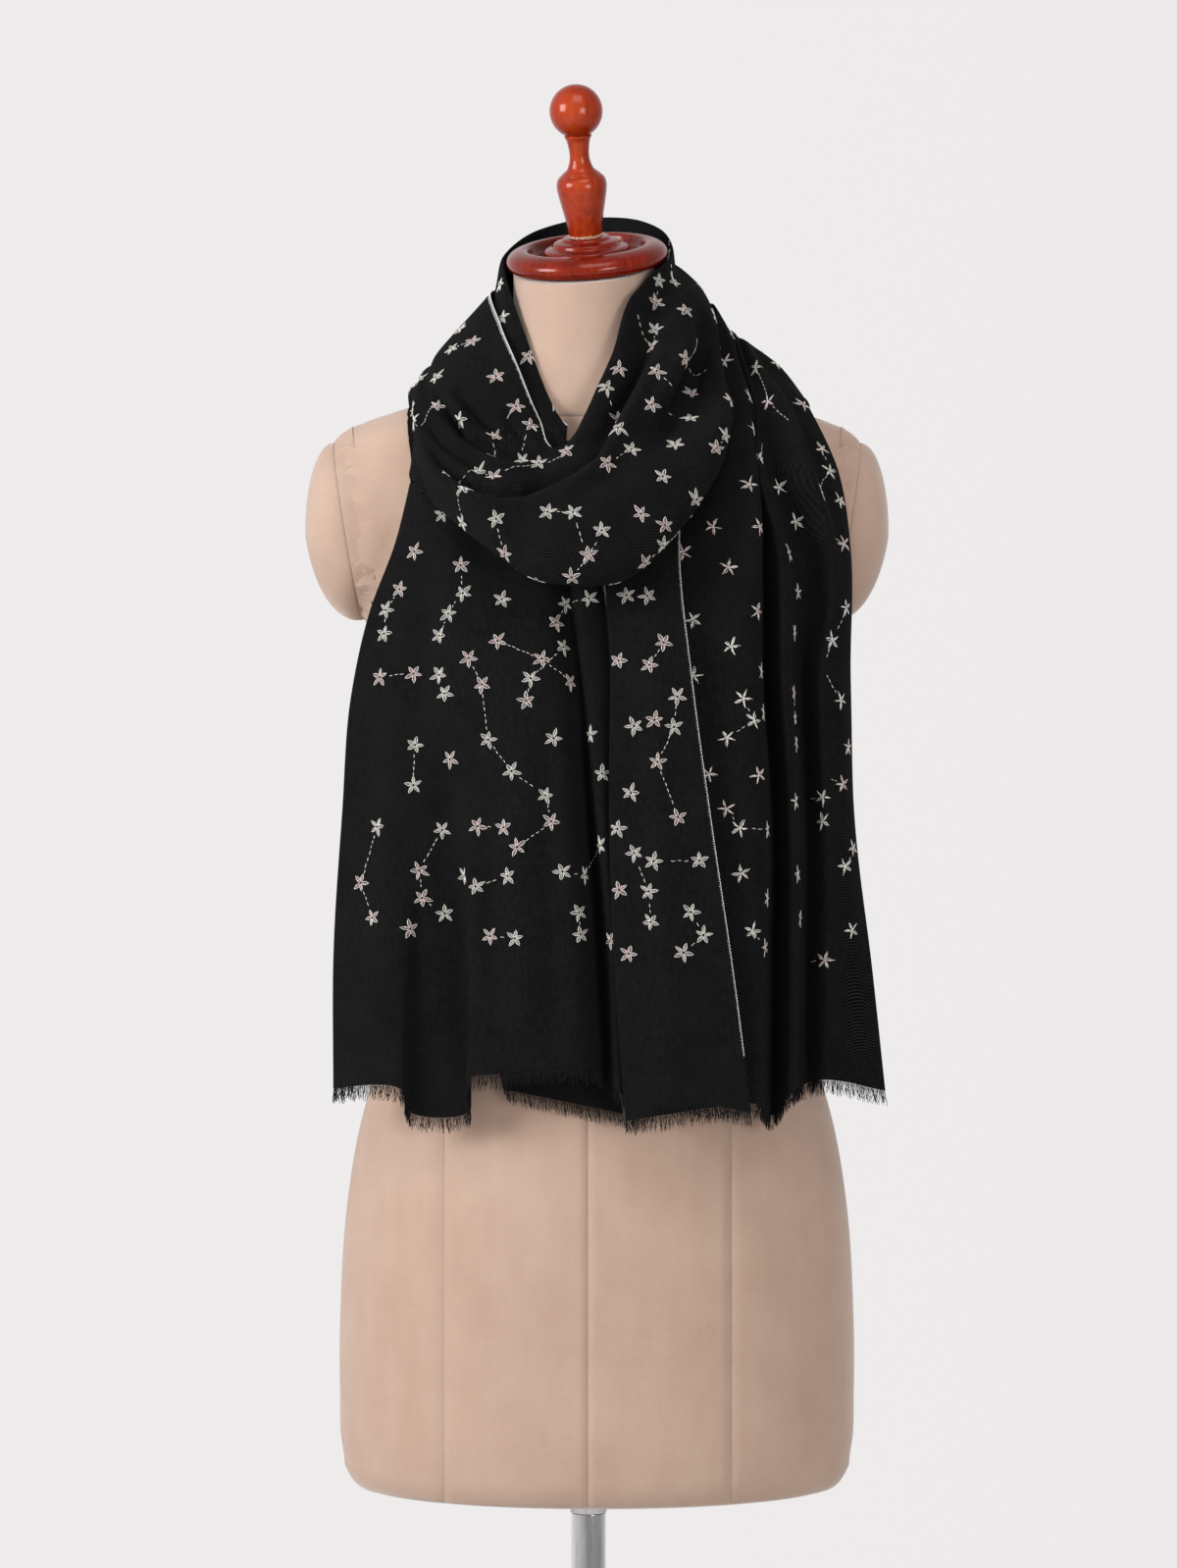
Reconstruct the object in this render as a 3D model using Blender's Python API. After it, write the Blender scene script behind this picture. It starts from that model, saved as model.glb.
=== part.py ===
"""Pashmina shawl wound once round the neck of a limbless dress form.

Sizes are in millimetres and are turned into metres when a mesh is made. The frame stands on the floor
under the pole: +Z is up, the front of the form looks along -Y and +X is the viewer's right.
"""
import math

import bpy
import numpy as np
from mathutils import Vector
from mathutils.bvhtree import BVHTree

MM = 0.001
GAP = 0.35
FORM_CLEARANCE = 0.9
LAYER_CLEARANCE = 3.4
LAYER_REACH = 14.0
LAYER_EDGE = 0.1
COWL_FRONT = -34.0
COWL_TOP = 1412.0
COWL_LIFT = 11.0
WALL = 2.0

# Stand: round plate, boss, pole and the collar under the form
BASE_RADIUS = 180.0
BASE_HEIGHT = 14.0
BOSS_RADIUS = 34.0
BOSS_HEIGHT = 34.0
POLE_RADIUS = 12.4
COLLAR_RADIUS = 13.0
COLLAR_HEIGHT = 17.0

# Form: one row for each level, up to the sloping top of the neck
BODY_SHIFT = 6.0
NECK_SHIFT = -3.0
FORM_BOTTOM = 628.0
NECK_TOP = 1497.0
# height, half width, front depth, back depth
FORM_LEVELS = (
    (628.0, 150.0, 89.0, 97.0),
    (630.0, 163.0, 98.0, 107.0),
    (638.0, 175.0, 107.0, 117.0),
    (656.0, 180.5, 112.0, 122.0),
    (700.0, 183.0, 114.0, 125.0),
    (760.0, 182.5, 115.0, 127.0),
    (820.0, 179.0, 114.0, 122.0),
    (880.0, 170.0, 109.0, 110.0),
    (940.0, 154.0, 100.0, 95.0),
    (1000.0, 140.0, 92.0, 84.0),
    (1055.0, 139.0, 97.0, 82.0),
    (1110.0, 147.0, 108.0, 87.0),
    (1170.0, 156.0, 119.0, 93.0),
    (1215.0, 161.0, 115.0, 97.0),
    (1260.0, 166.0, 103.0, 99.0),
    (1300.0, 172.0, 90.0, 98.0),
    (1335.0, 179.0, 80.0, 95.0),
    (1360.0, 186.0, 75.0, 88.0),
    (1373.0, 187.0, 71.0, 81.0),
    (1380.0, 179.0, 69.0, 77.0),
    (1388.0, 160.0, 67.0, 73.0),
    (1397.0, 131.0, 66.0, 69.0),
    (1407.0, 102.0, 63.0, 65.0),
    (1420.0, 74.0, 60.0, 61.0),
    (1440.0, 57.0, 58.0, 57.0),
    (1466.0, 51.5, 57.5, 53.0),
    (1497.0, 50.5, 57.0, 51.0),
)
FORM_ROUND = 2.12
NECK_TILT = math.radians(18.0)
NECK_ROLL = math.radians(4.5)

# Arm caps: oval domes on slanting seams
ARM_MIDDLE = 1309.0
ARM_HALF_HEIGHT = 63.0
ARM_HALF_DEPTH = 49.0
ARM_SEAM_MIDDLE = 177.0
ARM_SEAM_LEAN = 20.0 / 124.0
ARM_DOME = 30.5
ARM_BLEND = 22.0
DOME_POWER = 2.15
SIDE_CROWDING = 0.28
CAP_SHIFT = -0.5

# Wooden neck cap and finial: radius and height from the underside of the disc
CAP_PROFILE = (
    (0.0, 0.0), (50.0, 0.0), (54.5, 1.2), (57.3, 5.0), (57.5, 9.0), (55.5, 13.0), (51.0, 14.6),
    (49.0, 13.6), (47.0, 15.4), (40.0, 18.0), (33.0, 19.0), (31.0, 20.8), (28.0, 21.4), (0.0, 21.4),
)
FINIAL_PROFILE = (
    (0.0, 0.0), (13.4, 0.0), (13.8, 2.6), (12.0, 5.0), (11.4, 8.0), (13.4, 17.0), (16.8, 27.0),
    (18.2, 35.0), (16.6, 42.5), (12.6, 46.6), (12.3, 48.6), (10.8, 50.2), (8.4, 52.4), (7.0, 57.4),
    (7.6, 63.4), (9.6, 67.8), (9.9, 70.0), (8.6, 71.8), (10.8, 73.5),
)
BALL_RADIUS = 18.8
BALL_MIDDLE = 88.9

# Shawl round the neck: the cloth starts low at the front and winds by the viewer's left.
# A row gives the winding angle, then radius and height of each line that runs along the cloth:
# edge, rim, valley, ridge, bulge, lip, tuck
WRAP_ROWS = (
    (8.0, (86, 1356), (88, 1364), (90, 1362), (92, 1357), (95, 1351), (97.5, 1345), (99, 1338.5)),
    (22.0, (74, 1390), (76, 1402), (78, 1399), (80, 1391), (84, 1379), (89, 1364), (94, 1352)),
    (40.0, (66, 1428), (67, 1438), (69, 1434), (72, 1424), (80, 1406), (90, 1386), (97, 1370)),
    (60.0, (60, 1456), (62, 1468), (64, 1464), (66, 1452), (72, 1431), (84, 1412), (96, 1400)),
    (85.0, (57, 1480), (60, 1493), (62, 1490), (64, 1478), (68, 1455), (76, 1434), (88, 1419)),
    (115.0, (60, 1496), (62, 1510), (64, 1507), (66, 1494), (70, 1467), (78, 1441), (88, 1423)),
    (150.0, (62, 1514), (65, 1531), (68, 1528), (71, 1512), (76, 1482), (82, 1450), (89, 1428)),
    (185.0, (63, 1522), (67, 1541), (71, 1537), (74, 1520), (79, 1490), (85, 1455), (90, 1430)),
    (215.0, (63, 1518), (66, 1538), (70, 1528), (74, 1514), (80, 1488), (87, 1454), (91, 1431)),
    (238.0, (62, 1510), (65, 1528), (67, 1512), (73, 1505), (82, 1480), (88, 1450), (88, 1432)),
    (272.0, (59, 1486), (63, 1506), (65, 1487), (73, 1485), (89, 1459), (93, 1432), (89, 1426)),
    (295.0, (58, 1480), (62, 1495), (65, 1479), (76, 1470), (108, 1427), (115, 1412), (111, 1411)),
    (318.0, (58, 1460), (61, 1478), (67, 1455), (84, 1440), (138, 1369), (147, 1348), (141, 1346)),
    (336.0, (66, 1438), (70, 1455), (80, 1424), (99, 1402), (158, 1319), (156, 1296), (144, 1300)),
    (350.0, (79, 1390), (84, 1405), (97, 1385), (113, 1373), (167, 1294), (160, 1267), (148, 1271)),
    (362.0, (94, 1360), (97, 1370), (111, 1357), (131, 1344), (170, 1289), (159, 1261), (147, 1266)),
    (375.0, (100, 1364), (107, 1358), (115, 1345), (139, 1328), (169, 1291), (156, 1267), (144, 1271)),
    (395.0, (80, 1418), (110, 1371), (118, 1357), (138, 1344), (157, 1326), (151, 1297), (144, 1300)),
    (418.0, (69.5, 1451), (112, 1402), (117, 1387), (129, 1384), (142, 1365), (142, 1335), (136, 1337)),
    (445.0, (69, 1478), (106, 1434), (110, 1424), (115, 1420), (120, 1412), (124, 1406), (119, 1404)),
    (475.0, (71, 1490), (98, 1448), (104, 1437), (112, 1430), (126, 1405), (133, 1386), (128, 1380)),
    (505.0, (80, 1503), (94, 1472), (102, 1452), (114, 1430), (129, 1382), (134, 1335), (128, 1326)),
    (540.0, (83, 1507), (92, 1484), (98, 1460), (107, 1432), (118, 1372), (121, 1310), (117, 1298)),
    (575.0, (86, 1498), (95, 1478), (102, 1458), (112, 1434), (126, 1387), (134, 1336), (129, 1322)),
    (605.0, (93, 1475), (98, 1463), (104, 1451), (115, 1437), (136, 1412), (156, 1388), (164, 1368)),
)
STRETCHES = (
    ("shawl_collar", 8.0, 236.0, 21),
    ("shawl_cowl", 236.0, 448.0, 36),
    ("shawl_back", 448.0, 605.0, 15),
)
WRAP_ACROSS = 17
SEAM_ANGLE = 0.22
TAIL_SEAM = 0.5

# Creases of the cowl: start and end as winding angle and height, then height of the fold and half breadth
WRAP_CREASES = (
    ((286.0, 1452.0), (322.0, 1390.0), -13.0, 13.0),
    ((322.0, 1390.0), (338.0, 1352.0), -7.0, 12.0),
    ((392.0, 1366.0), (425.0, 1404.0), -6.0, 7.0),
    ((385.0, 1330.0), (428.0, 1386.0), -6.0, 8.0),
    ((398.0, 1330.0), (432.0, 1374.0), 4.0, 7.0),
    ((470.0, 1470.0), (560.0, 1392.0), -7.0, 10.0),
    ((480.0, 1430.0), (575.0, 1352.0), -7.0, 11.0),
    ((520.0, 1486.0), (600.0, 1440.0), -6.0, 9.0),
)

# Tails: one row for each level, its height first, then each line across the cloth as x and y.
# Left: selvedge, strip, groove, crest, panel, near fold, two pleat lines, far fold, outline, behind, lower, end
LEFT_ROWS = (
    (1338.0, (-4, -99), (-14, -100), (-20, -96), (-30, -101), (-56, -100), (-66, -99), (-74, -97), (-84, -94),
     (-92, -86), (-105, -70), (-94, -75), (-80, -81), (-66, -88)),
    (1296.0, (4, -106), (-8, -109), (-16, -101), (-26, -108), (-58, -106), (-72, -103), (-82, -101), (-94, -97),
     (-105, -90), (-129, -76), (-105, -82), (-86, -88), (-66, -94)),
    (1250.0, (13, -119), (-4, -122), (-12, -112), (-24, -121), (-60, -120), (-76, -116), (-88, -113), (-102, -107),
     (-117, -99), (-148, -78), (-112, -90), (-84, -101), (-60, -109)),
    (1190.0, (17, -131), (2, -134), (-5, -123), (-16, -134), (-60, -132), (-79, -127), (-92, -123), (-108, -116),
     (-124, -107), (-162, -84), (-116, -98), (-80, -113), (-40, -124)),
    (1110.0, (20, -134), (8, -138), (1, -124), (-9, -138), (-62, -135), (-82, -129), (-90, -123), (-108, -116),
     (-124, -110), (-170, -86), (-116, -100), (-70, -109), (-20, -115)),
    (1010.0, (25, -134), (17, -138), (8, -122), (-1, -138), (-62, -137), (-84, -131), (-84, -120), (-116, -112),
     (-126, -117), (-176, -88), (-118, -99), (-64, -107), (0, -112)),
    (921.0, (29, -133), (21, -138), (12, -122), (3, -138), (-62, -138), (-84, -132), (-81, -119), (-121, -110),
     (-127, -120), (-176, -89), (-112, -98), (-58, -106), (24, -111)),
)
LEFT_HEM = (913.0, 920.0, 927.0, 934.0, 932.0, 926.0, 906.0, 903.0, 919.0, 919.0, 932.0, 921.0, 905.0)

# Right: turn, under, first crest, first groove, second crest, second groove, side, outline
RIGHT_ROWS = (
    (1400.0, (96, -26), (100, -28), (110, -46), (115, -44), (125, -58), (134, -45), (141, -42), (146, -30)),
    (1345.0, (42, -87), (68, -82), (108, -93), (115, -78), (125, -90), (133, -72), (155, -73), (171, -56)),
    (1290.0, (18, -115), (62, -109), (109, -116), (117, -98), (132, -108), (141, -90), (156, -96), (180, -74)),
    (1200.0, (17, -139), (69, -134), (110, -128), (118, -108), (134, -118), (144, -100), (158, -104), (179, -82)),
    (1110.0, (16, -142), (81, -138), (119, -134), (128, -112), (139, -124), (150, -104), (163, -108), (183, -86)),
    (1000.0, (20, -143), (97, -139), (118, -134), (128, -110), (139, -124), (150, -102), (164, -108), (196, -88)),
    (920.0, (27, -143), (104, -139), (117, -133), (127, -110), (137, -123), (150, -102), (164, -108), (205, -88)),
)
RIGHT_TOP = (
    (102, 2, 1443), (104, 2, 1446), (108, 0, 1446), (113, 2, 1440), (123, 0, 1436), (133, 2, 1426),
    (146, 0, 1414), (158, 4, 1395),
)
RIGHT_HEM = (901.0, 912.0, 910.0, 901.0, 917.0, 922.0, 926.0, 917.0)

# The right tail's near edge is turned over to the front: selvedge, front and turn
TURNED_ROWS = (
    (1380.0, (74, -86), (62, -88), (52, -88)),
    (1345.0, (66, -98), (54, -97), (42, -94.5)),
    (1290.0, (62, -122), (36, -122), (18, -120)),
    (1200.0, (70, -146), (38, -147), (17, -142.5)),
    (1110.0, (82, -149), (42, -151), (16, -145.5)),
    (1000.0, (98, -150), (48, -152), (20, -146.5)),
    (920.0, (110, -150), (52, -152), (27, -146.5)),
)
TURNED_HEM = (907.0, 914.0, 901.0)
LEFT_ACROSS = 40
RIGHT_ACROSS = 27
TURNED_ACROSS = 12
LEFT_SPLITS = (2, 2, 2)
RIGHT_SPLITS = (2, 4, 3, 2, 2)

# Fringe: strands under a narrow strip along each hem
FRINGE_GAP = 0.8
FRINGE_STRIP = 2.2
FRINGE_LENGTH = 15.0
FRINGE_TIP = 0.6
FRINGE_SWAY = 1.6
FRINGE_ROOM = 3.0


def hermite(knots, values, places):
    """Values at the given places on a smooth curve through the rows of values."""
    knots = np.asarray(knots, dtype=float)
    values = np.asarray(values, dtype=float)
    places = np.asarray(places, dtype=float)
    steps = np.diff(knots)
    slopes = np.diff(values, axis=0) / steps[:, None]
    weights = steps[1:, None] / (steps[:-1, None] + steps[1:, None])
    inner = slopes[:-1] * weights + slopes[1:] * (1.0 - weights)
    tangents = np.vstack([slopes[:1], inner, slopes[-1:]])
    spans = np.clip(np.searchsorted(knots, places, side="right") - 1, 0, len(steps) - 1)
    part = ((places - knots[spans]) / steps[spans])[:, None]
    length = steps[spans][:, None]
    start = values[spans] * (1.0 + 2.0 * part) * (1.0 - part) ** 2
    end = values[spans + 1] * part ** 2 * (3.0 - 2.0 * part)
    bend = tangents[spans] * part * (1.0 - part) ** 2 - tangents[spans + 1] * part ** 2 * (1.0 - part)
    return start + end + bend * length


def smooth_max(first, second, blend):
    """The larger of two lengths, rounded where they meet."""
    mix = np.clip(0.5 + 0.5 * (first - second) / blend, 0.0, 1.0)
    return second + (first - second) * mix + blend * mix * (1.0 - mix)


def form_shift(height):
    """Sideways place of the form's middle at a height."""
    return np.interp(height, (1390.0, 1430.0), (BODY_SHIFT, NECK_SHIFT))


def form_reach(height, angle):
    """Radius of the form at a height and an angle from the front towards +X."""
    height = np.asarray(height, dtype=float)
    shape = height.shape
    levels = np.array(FORM_LEVELS)
    sizes = hermite(levels[:, 0], levels[:, 1:], np.clip(height.ravel(), FORM_BOTTOM, NECK_TOP))
    width, front, back = (sizes[:, column].reshape(shape) for column in range(3))
    sine = np.abs(np.sin(angle)) + 1e-6
    cosine = np.abs(np.cos(angle)) + 1e-6
    depth = np.where(np.cos(angle) > 0.0, front, back)
    body = ((sine / width) ** FORM_ROUND + (cosine / depth) ** FORM_ROUND) ** (-1.0 / FORM_ROUND)
    lift = (height - ARM_MIDDLE) / ARM_HALF_HEIGHT
    arm_depth = ARM_HALF_DEPTH * np.sqrt(np.clip(1.0 - lift ** 2, 0.0, 1.0))
    seam = (ARM_SEAM_MIDDLE + (height - ARM_MIDDLE) * ARM_SEAM_LEAN) / sine
    arm = np.minimum(arm_depth / cosine, seam)
    joined = np.where(arm_depth > 4.0, smooth_max(body, arm, ARM_BLEND), body)
    return np.minimum(joined, np.where(np.abs(lift) < 1.02, seam, joined))


def rest_on_form(points, form, clearance):
    """Points moved out until they clear the form's faces."""
    grid = points.copy()
    for _ in range(4):
        moved = np.zeros(grid.shape)
        for row, column in np.ndindex(grid.shape[:2]):
            moved[row, column] = outward_push(grid[row, column], form, clearance)
        grid += moved
        for rows, columns in ((1, 1), (1, 0), (0, 1)):
            high = (slice(None, grid.shape[0] - rows), slice(None, grid.shape[1] - columns))
            low = (slice(rows, None), slice(columns, None))
            middles = (grid[high] + grid[low]) / 2.0
            push = np.array([[outward_push(point, form, clearance) for point in line] for line in middles])
            for part in (high, low):
                grid[part] += push * 0.7
    return grid


def outward_push(point, form, clearance):
    """The move that takes one point clear of the form's faces."""
    nearest, normal, _, distance = form.find_nearest(point)
    inside = (Vector(point) - nearest).dot(normal) < -0.9 * distance
    lack = clearance - (-distance if inside else distance)
    return np.array(normal) * max(lack, 0.0)


def crease_push(angle, height):
    """Height of the cowl's creases over the plain cloth, by winding angle and height."""
    push = np.zeros_like(height)
    for start, end, depth, breadth in WRAP_CREASES:
        scale = 2.0
        run = np.array([(end[0] - start[0]) * scale, end[1] - start[1]])
        length = np.linalg.norm(run)
        along = ((angle - start[0]) * scale * run[0] + (height - start[1]) * run[1]) / length
        aside = ((angle - start[0]) * scale * run[1] - (height - start[1]) * run[0]) / length
        fade = np.clip(np.minimum(along + 14.0, length + 14.0 - along) / 28.0, 0.0, 1.0)
        push += depth * np.exp(-(aside / breadth) ** 2) * fade * fade * (3.0 - 2.0 * fade)
    return push


def surface_normals(grid):
    """Unit normals of a grid of points."""
    along = np.gradient(grid, axis=0)
    across = np.gradient(grid, axis=1)
    normal = np.cross(along, across)
    return normal / (np.linalg.norm(normal, axis=2, keepdims=True) + 1e-9)


def wrap_grid(first, last, along, across):
    """Middle points of the wound cloth between two winding angles."""
    table = np.array([[row[0]] + [value for pair in row[1:] for value in pair] for row in WRAP_ROWS])
    angles = np.linspace(first, last, along)
    sections = hermite(table[:, 0], table[:, 1:], angles).reshape(along, -1, 2)
    keys = table[:, 1:].reshape(len(table), -1, 2)
    lengths = np.linalg.norm(np.diff(keys, axis=1), axis=2).mean(axis=0)
    knots = np.concatenate([[0.0], np.cumsum(lengths)])
    places = np.linspace(0.0, knots[-1], across)
    rows = np.stack([hermite(knots, section, places) for section in sections])
    turn = np.radians(angles)[:, None]
    grid = np.stack([
        NECK_SHIFT - rows[..., 0] * np.sin(turn),
        -rows[..., 0] * np.cos(turn),
        rows[..., 1],
    ], axis=2)
    push = crease_push(np.broadcast_to(angles[:, None], rows.shape[:2]), rows[..., 1])
    return grid + surface_normals(grid) * push[..., None]


def tail_grid(rows, hem, splits, across, top=None):
    """Middle points of a hanging tail from its first level to its hem; splits gives the rows in each span."""
    sections = [[(x, y, row[0]) for x, y in row[1:]] for row in rows]
    sections[-1] = [(x, y, low) for (x, y, _), low in zip(sections[-1], hem)]
    if top is not None:
        sections = top + sections
    sections = np.array(sections, dtype=float)
    lengths = np.linalg.norm(np.diff(sections[2:], axis=1), axis=2).mean(axis=0)
    knots = np.concatenate([[0.0], np.cumsum(lengths)])
    places = np.linspace(0.0, knots[-1], across)
    crossed = np.stack([hermite(knots, section, places) for section in sections])
    drops = np.linalg.norm(np.diff(crossed, axis=0), axis=2).mean(axis=1)
    levels = np.concatenate([[0.0], np.cumsum(drops)])
    down = [levels[-1]]
    for span, (high, low) in enumerate(zip(levels, levels[1:])):
        pieces = splits[span] if span < len(splits) else 1
        down += [high + (low - high) * piece / pieces for piece in range(pieces)]
    flat = crossed.reshape(len(sections), -1)
    return hermite(levels, flat, sorted(down)).reshape(len(down), across, 3)


def material(name, colour, roughness, metallic=0.0):
    """A plain finish with its colour, roughness and metal share."""
    finish = bpy.data.materials.new(name)
    finish.use_nodes = True
    shader = finish.node_tree.nodes["Principled BSDF"]
    shader.inputs["Base Color"].default_value = (*colour, 1.0)
    shader.inputs["Roughness"].default_value = roughness
    shader.inputs["Metallic"].default_value = metallic
    return finish


def add_object(name, points, faces, finish, smooth=True):
    """One named object from points in millimetres."""
    mesh = bpy.data.meshes.new(name)
    mesh.from_pydata([tuple(float(value) * MM for value in point) for point in points], [], faces)
    mesh.validate()
    mesh.materials.append(finish)
    if smooth:
        mesh.shade_smooth()
        mesh.set_sharp_from_angle(angle=math.radians(50.0))
    piece = bpy.data.objects.new(name, mesh)
    bpy.context.scene.collection.objects.link(piece)
    return piece


def over_layers(points, layers):
    """Points of a later turn of the cloth, moved out until they lie over the turns under them."""
    points = points.copy()
    flat = points.reshape(-1, 3)
    for index, point in enumerate(flat):
        for layer in layers:
            nearest, normal, _, _ = layer.find_nearest(point, LAYER_REACH)
            if nearest is None:
                continue
            away = Vector(point) - nearest
            height = away.dot(normal)
            beside = (away - normal * height).length
            if height < LAYER_CLEARANCE and beside < LAYER_EDGE:
                point = point + np.array(normal) * (LAYER_CLEARANCE - height)
        flat[index] = point
    return points


def layer_faces(grid):
    """The middle of a wound stretch as faces that look outward."""
    rows, columns = grid.shape[:2]
    faces = []
    for row in range(rows - 1):
        for column in range(columns - 1):
            first = row * columns + column
            faces.append([first, first + columns, first + columns + 1, first + 1])
    return BVHTree.FromPolygons([Vector(point) for point in grid.reshape(-1, 3)], faces)


def before_tails(points, tails):
    """Points of the cowl moved forward until they clear the tails that hang behind it."""
    points = points.copy()
    flat = points.reshape(-1, 3)
    for index, point in enumerate(flat):
        if point[1] > COWL_FRONT or point[2] > COWL_TOP:
            continue
        for tail in tails:
            x, y, z = flat[index]
            inward = Vector((NECK_SHIFT - x, -y, 0.0)).normalized()
            hit = tail.ray_cast(Vector((NECK_SHIFT, 0.0, z)) - inward * 400.0, inward)[0]
            if hit is None:
                continue
            lack = (hit - Vector((x, y, z))).dot(-inward) + LAYER_CLEARANCE
            if 0.0 < lack < COWL_LIFT:
                flat[index] -= np.array(inward) * lack
    return points


def add_wall(name, middle, form, finish):
    """A closed cloth wall round a grid of middle points."""
    half = WALL / 2.0
    grid = middle
    normal = surface_normals(middle)
    sides = [rest_on_form(middle + normal * side, form, FORM_CLEARANCE) for side in (half, -half)]
    rows, columns = grid.shape[:2]
    points = np.concatenate([side.reshape(-1, 3) for side in sides])
    second = rows * columns

    def place(row, column, side):
        return side * second + row * columns + column

    faces = []
    for row in range(rows - 1):
        for column in range(columns - 1):
            near = [place(row, column, 0), place(row + 1, column, 0)]
            near += [place(row + 1, column + 1, 0), place(row, column + 1, 0)]
            faces.append(near)
            faces.append([corner + second for corner in reversed(near)])
    for row in range(rows - 1):
        faces.append([place(row, 0, 0), place(row, 0, 1), place(row + 1, 0, 1), place(row + 1, 0, 0)])
        last = columns - 1
        faces.append([place(row + 1, last, 0), place(row + 1, last, 1), place(row, last, 1), place(row, last, 0)])
    for column in range(columns - 1):
        faces.append([place(0, column + 1, 0), place(0, column + 1, 1), place(0, column, 1), place(0, column, 0)])
        last = rows - 1
        low = [place(last, column, 0), place(last, column, 1)]
        faces.append(low + [place(last, column + 1, 1), place(last, column + 1, 0)])
    return add_object(name, points, faces, finish)


def add_turned(name, profile, steps, finish, place):
    """A turned piece from its outer profile, put where the function place says."""
    points = []
    rings = []
    for radius, height in profile:
        if radius < 1e-6:
            rings.append([len(points)])
            points.append(place(np.array([0.0, 0.0, height])))
            continue
        rings.append(list(range(len(points), len(points) + steps)))
        for step in range(steps):
            angle = 2.0 * math.pi * step / steps
            points.append(place(np.array([radius * math.cos(angle), radius * math.sin(angle), height])))
    faces = []
    for lower, upper in zip(rings, rings[1:]):
        for step in range(steps):
            after = (step + 1) % steps
            if len(lower) == 1:
                faces.append([lower[0], upper[after], upper[step]])
            elif len(upper) == 1:
                faces.append([lower[step], lower[after], upper[0]])
            else:
                faces.append([lower[step], lower[after], upper[after], upper[step]])
    return add_object(name, points, faces, finish)


def upright(point):
    """A point of a piece that stands straight on the pole's line."""
    return point


def on_neck(point):
    """A point of a piece that sits square on the sloping top of the neck."""
    x, y, z = point
    y, z = y * math.cos(NECK_TILT) - z * math.sin(NECK_TILT), y * math.sin(NECK_TILT) + z * math.cos(NECK_TILT)
    x, z = x * math.cos(NECK_ROLL) - z * math.sin(NECK_ROLL), x * math.sin(NECK_ROLL) + z * math.cos(NECK_ROLL)
    return np.array([CAP_SHIFT + x, y, NECK_TOP + GAP * 2.0 + z])


def disc_profile(radius, low, high, bevel):
    """Profile of a plain disc with a bevelled upper edge."""
    return ((0.0, low), (radius, low), (radius, high - bevel), (radius - bevel, high), (0.0, high))


def make_stand(metal):
    """Base plate, boss, pole and the collar under the form."""
    boss_top = BASE_HEIGHT + GAP + BOSS_HEIGHT
    collar_low = FORM_BOTTOM - GAP - COLLAR_HEIGHT
    add_turned("base_plate", disc_profile(BASE_RADIUS, 0.0, BASE_HEIGHT, 4.0), 40, metal, upright)
    add_turned("base_boss", disc_profile(BOSS_RADIUS, BASE_HEIGHT + GAP, boss_top, 6.0), 20, metal, upright)
    add_turned("pole", disc_profile(POLE_RADIUS, boss_top + GAP, collar_low - GAP, 0.5), 20, metal, upright)
    add_turned("pole_collar", disc_profile(COLLAR_RADIUS, collar_low, FORM_BOTTOM - GAP, 0.8), 20, metal, upright)


def make_torso(cloth):
    """The covered body with its neck, cut flat at the arm seams; gives its faces for the cloth to rest on."""
    low = [FORM_BOTTOM, 630.0, 638.0, 656.0]
    middle = list(np.linspace(700.0, 1240.0, 9))
    high = list(np.linspace(1250.0, 1366.0, 6)) + [1372.5, 1380.0, 1388.0, 1397.0, 1407.0, 1422.0, 1444.0]
    heights = low + middle + high + [NECK_TOP]
    steps = 40
    turns = 2.0 * math.pi * (np.arange(steps) + 0.5) / steps
    angles = turns + SIDE_CROWDING * np.sin(2.0 * turns)
    points = []
    for height in heights:
        reach = form_reach(np.full(steps, height), angles)
        x = np.sin(angles) * reach
        y = -np.cos(angles) * reach
        slope = np.clip((height - 1420.0) / (NECK_TOP - 1420.0), 0.0, 1.0)
        z = height + slope * (y * math.tan(NECK_TILT) + x * math.tan(NECK_ROLL))
        points += list(np.stack([x + form_shift(height), y, z], axis=1))
    faces = [list(reversed(range(steps)))]
    for row in range(len(heights) - 1):
        for step in range(steps):
            after = (step + 1) % steps
            first = row * steps
            faces.append([first + step, first + after, first + steps + after, first + steps + step])
    last = (len(heights) - 1) * steps
    faces.append(list(range(last, last + steps)))
    add_object("form_torso", points, faces, cloth)
    return BVHTree.FromPolygons([Vector(point) for point in points], faces)


def make_arm_cap(name, side, cloth):
    """One oval dome on the arm seam; side is 1 at the viewer's right."""
    steps = 24
    rings = 6
    lean = math.atan(ARM_SEAM_LEAN)
    middle = np.array([BODY_SHIFT + side * ARM_SEAM_MIDDLE, 0.0, ARM_MIDDLE])
    out = np.array([side * math.cos(lean), 0.0, -math.sin(lean)])
    up = np.array([side * math.sin(lean), 0.0, math.cos(lean)])
    points = []
    for ring in range(rings):
        part = math.sin(math.pi / 2.0 * ring / rings)
        size = (1.0 - part ** DOME_POWER) ** (1.0 / DOME_POWER)
        for step in range(steps):
            angle = 2.0 * math.pi * step / steps
            tall = up * math.sin(angle) * ARM_HALF_HEIGHT * size / math.cos(lean)
            deep = np.array([0.0, 1.0, 0.0]) * math.cos(angle) * ARM_HALF_DEPTH * size
            points.append(middle + out * (GAP + ARM_DOME * part) + tall + deep)
    points.append(middle + out * (GAP + ARM_DOME))
    faces = [list(range(steps))]
    for ring in range(rings - 1):
        for step in range(steps):
            after = (step + 1) % steps
            first = ring * steps
            faces.append([first + step, first + steps + step, first + steps + after, first + after])
    last = (rings - 1) * steps
    for step in range(steps):
        faces.append([last + step, len(points) - 1, last + (step + 1) % steps])
    if side > 0:
        faces = [list(reversed(face)) for face in faces]
    return add_object(name, points, faces, cloth)


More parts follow.
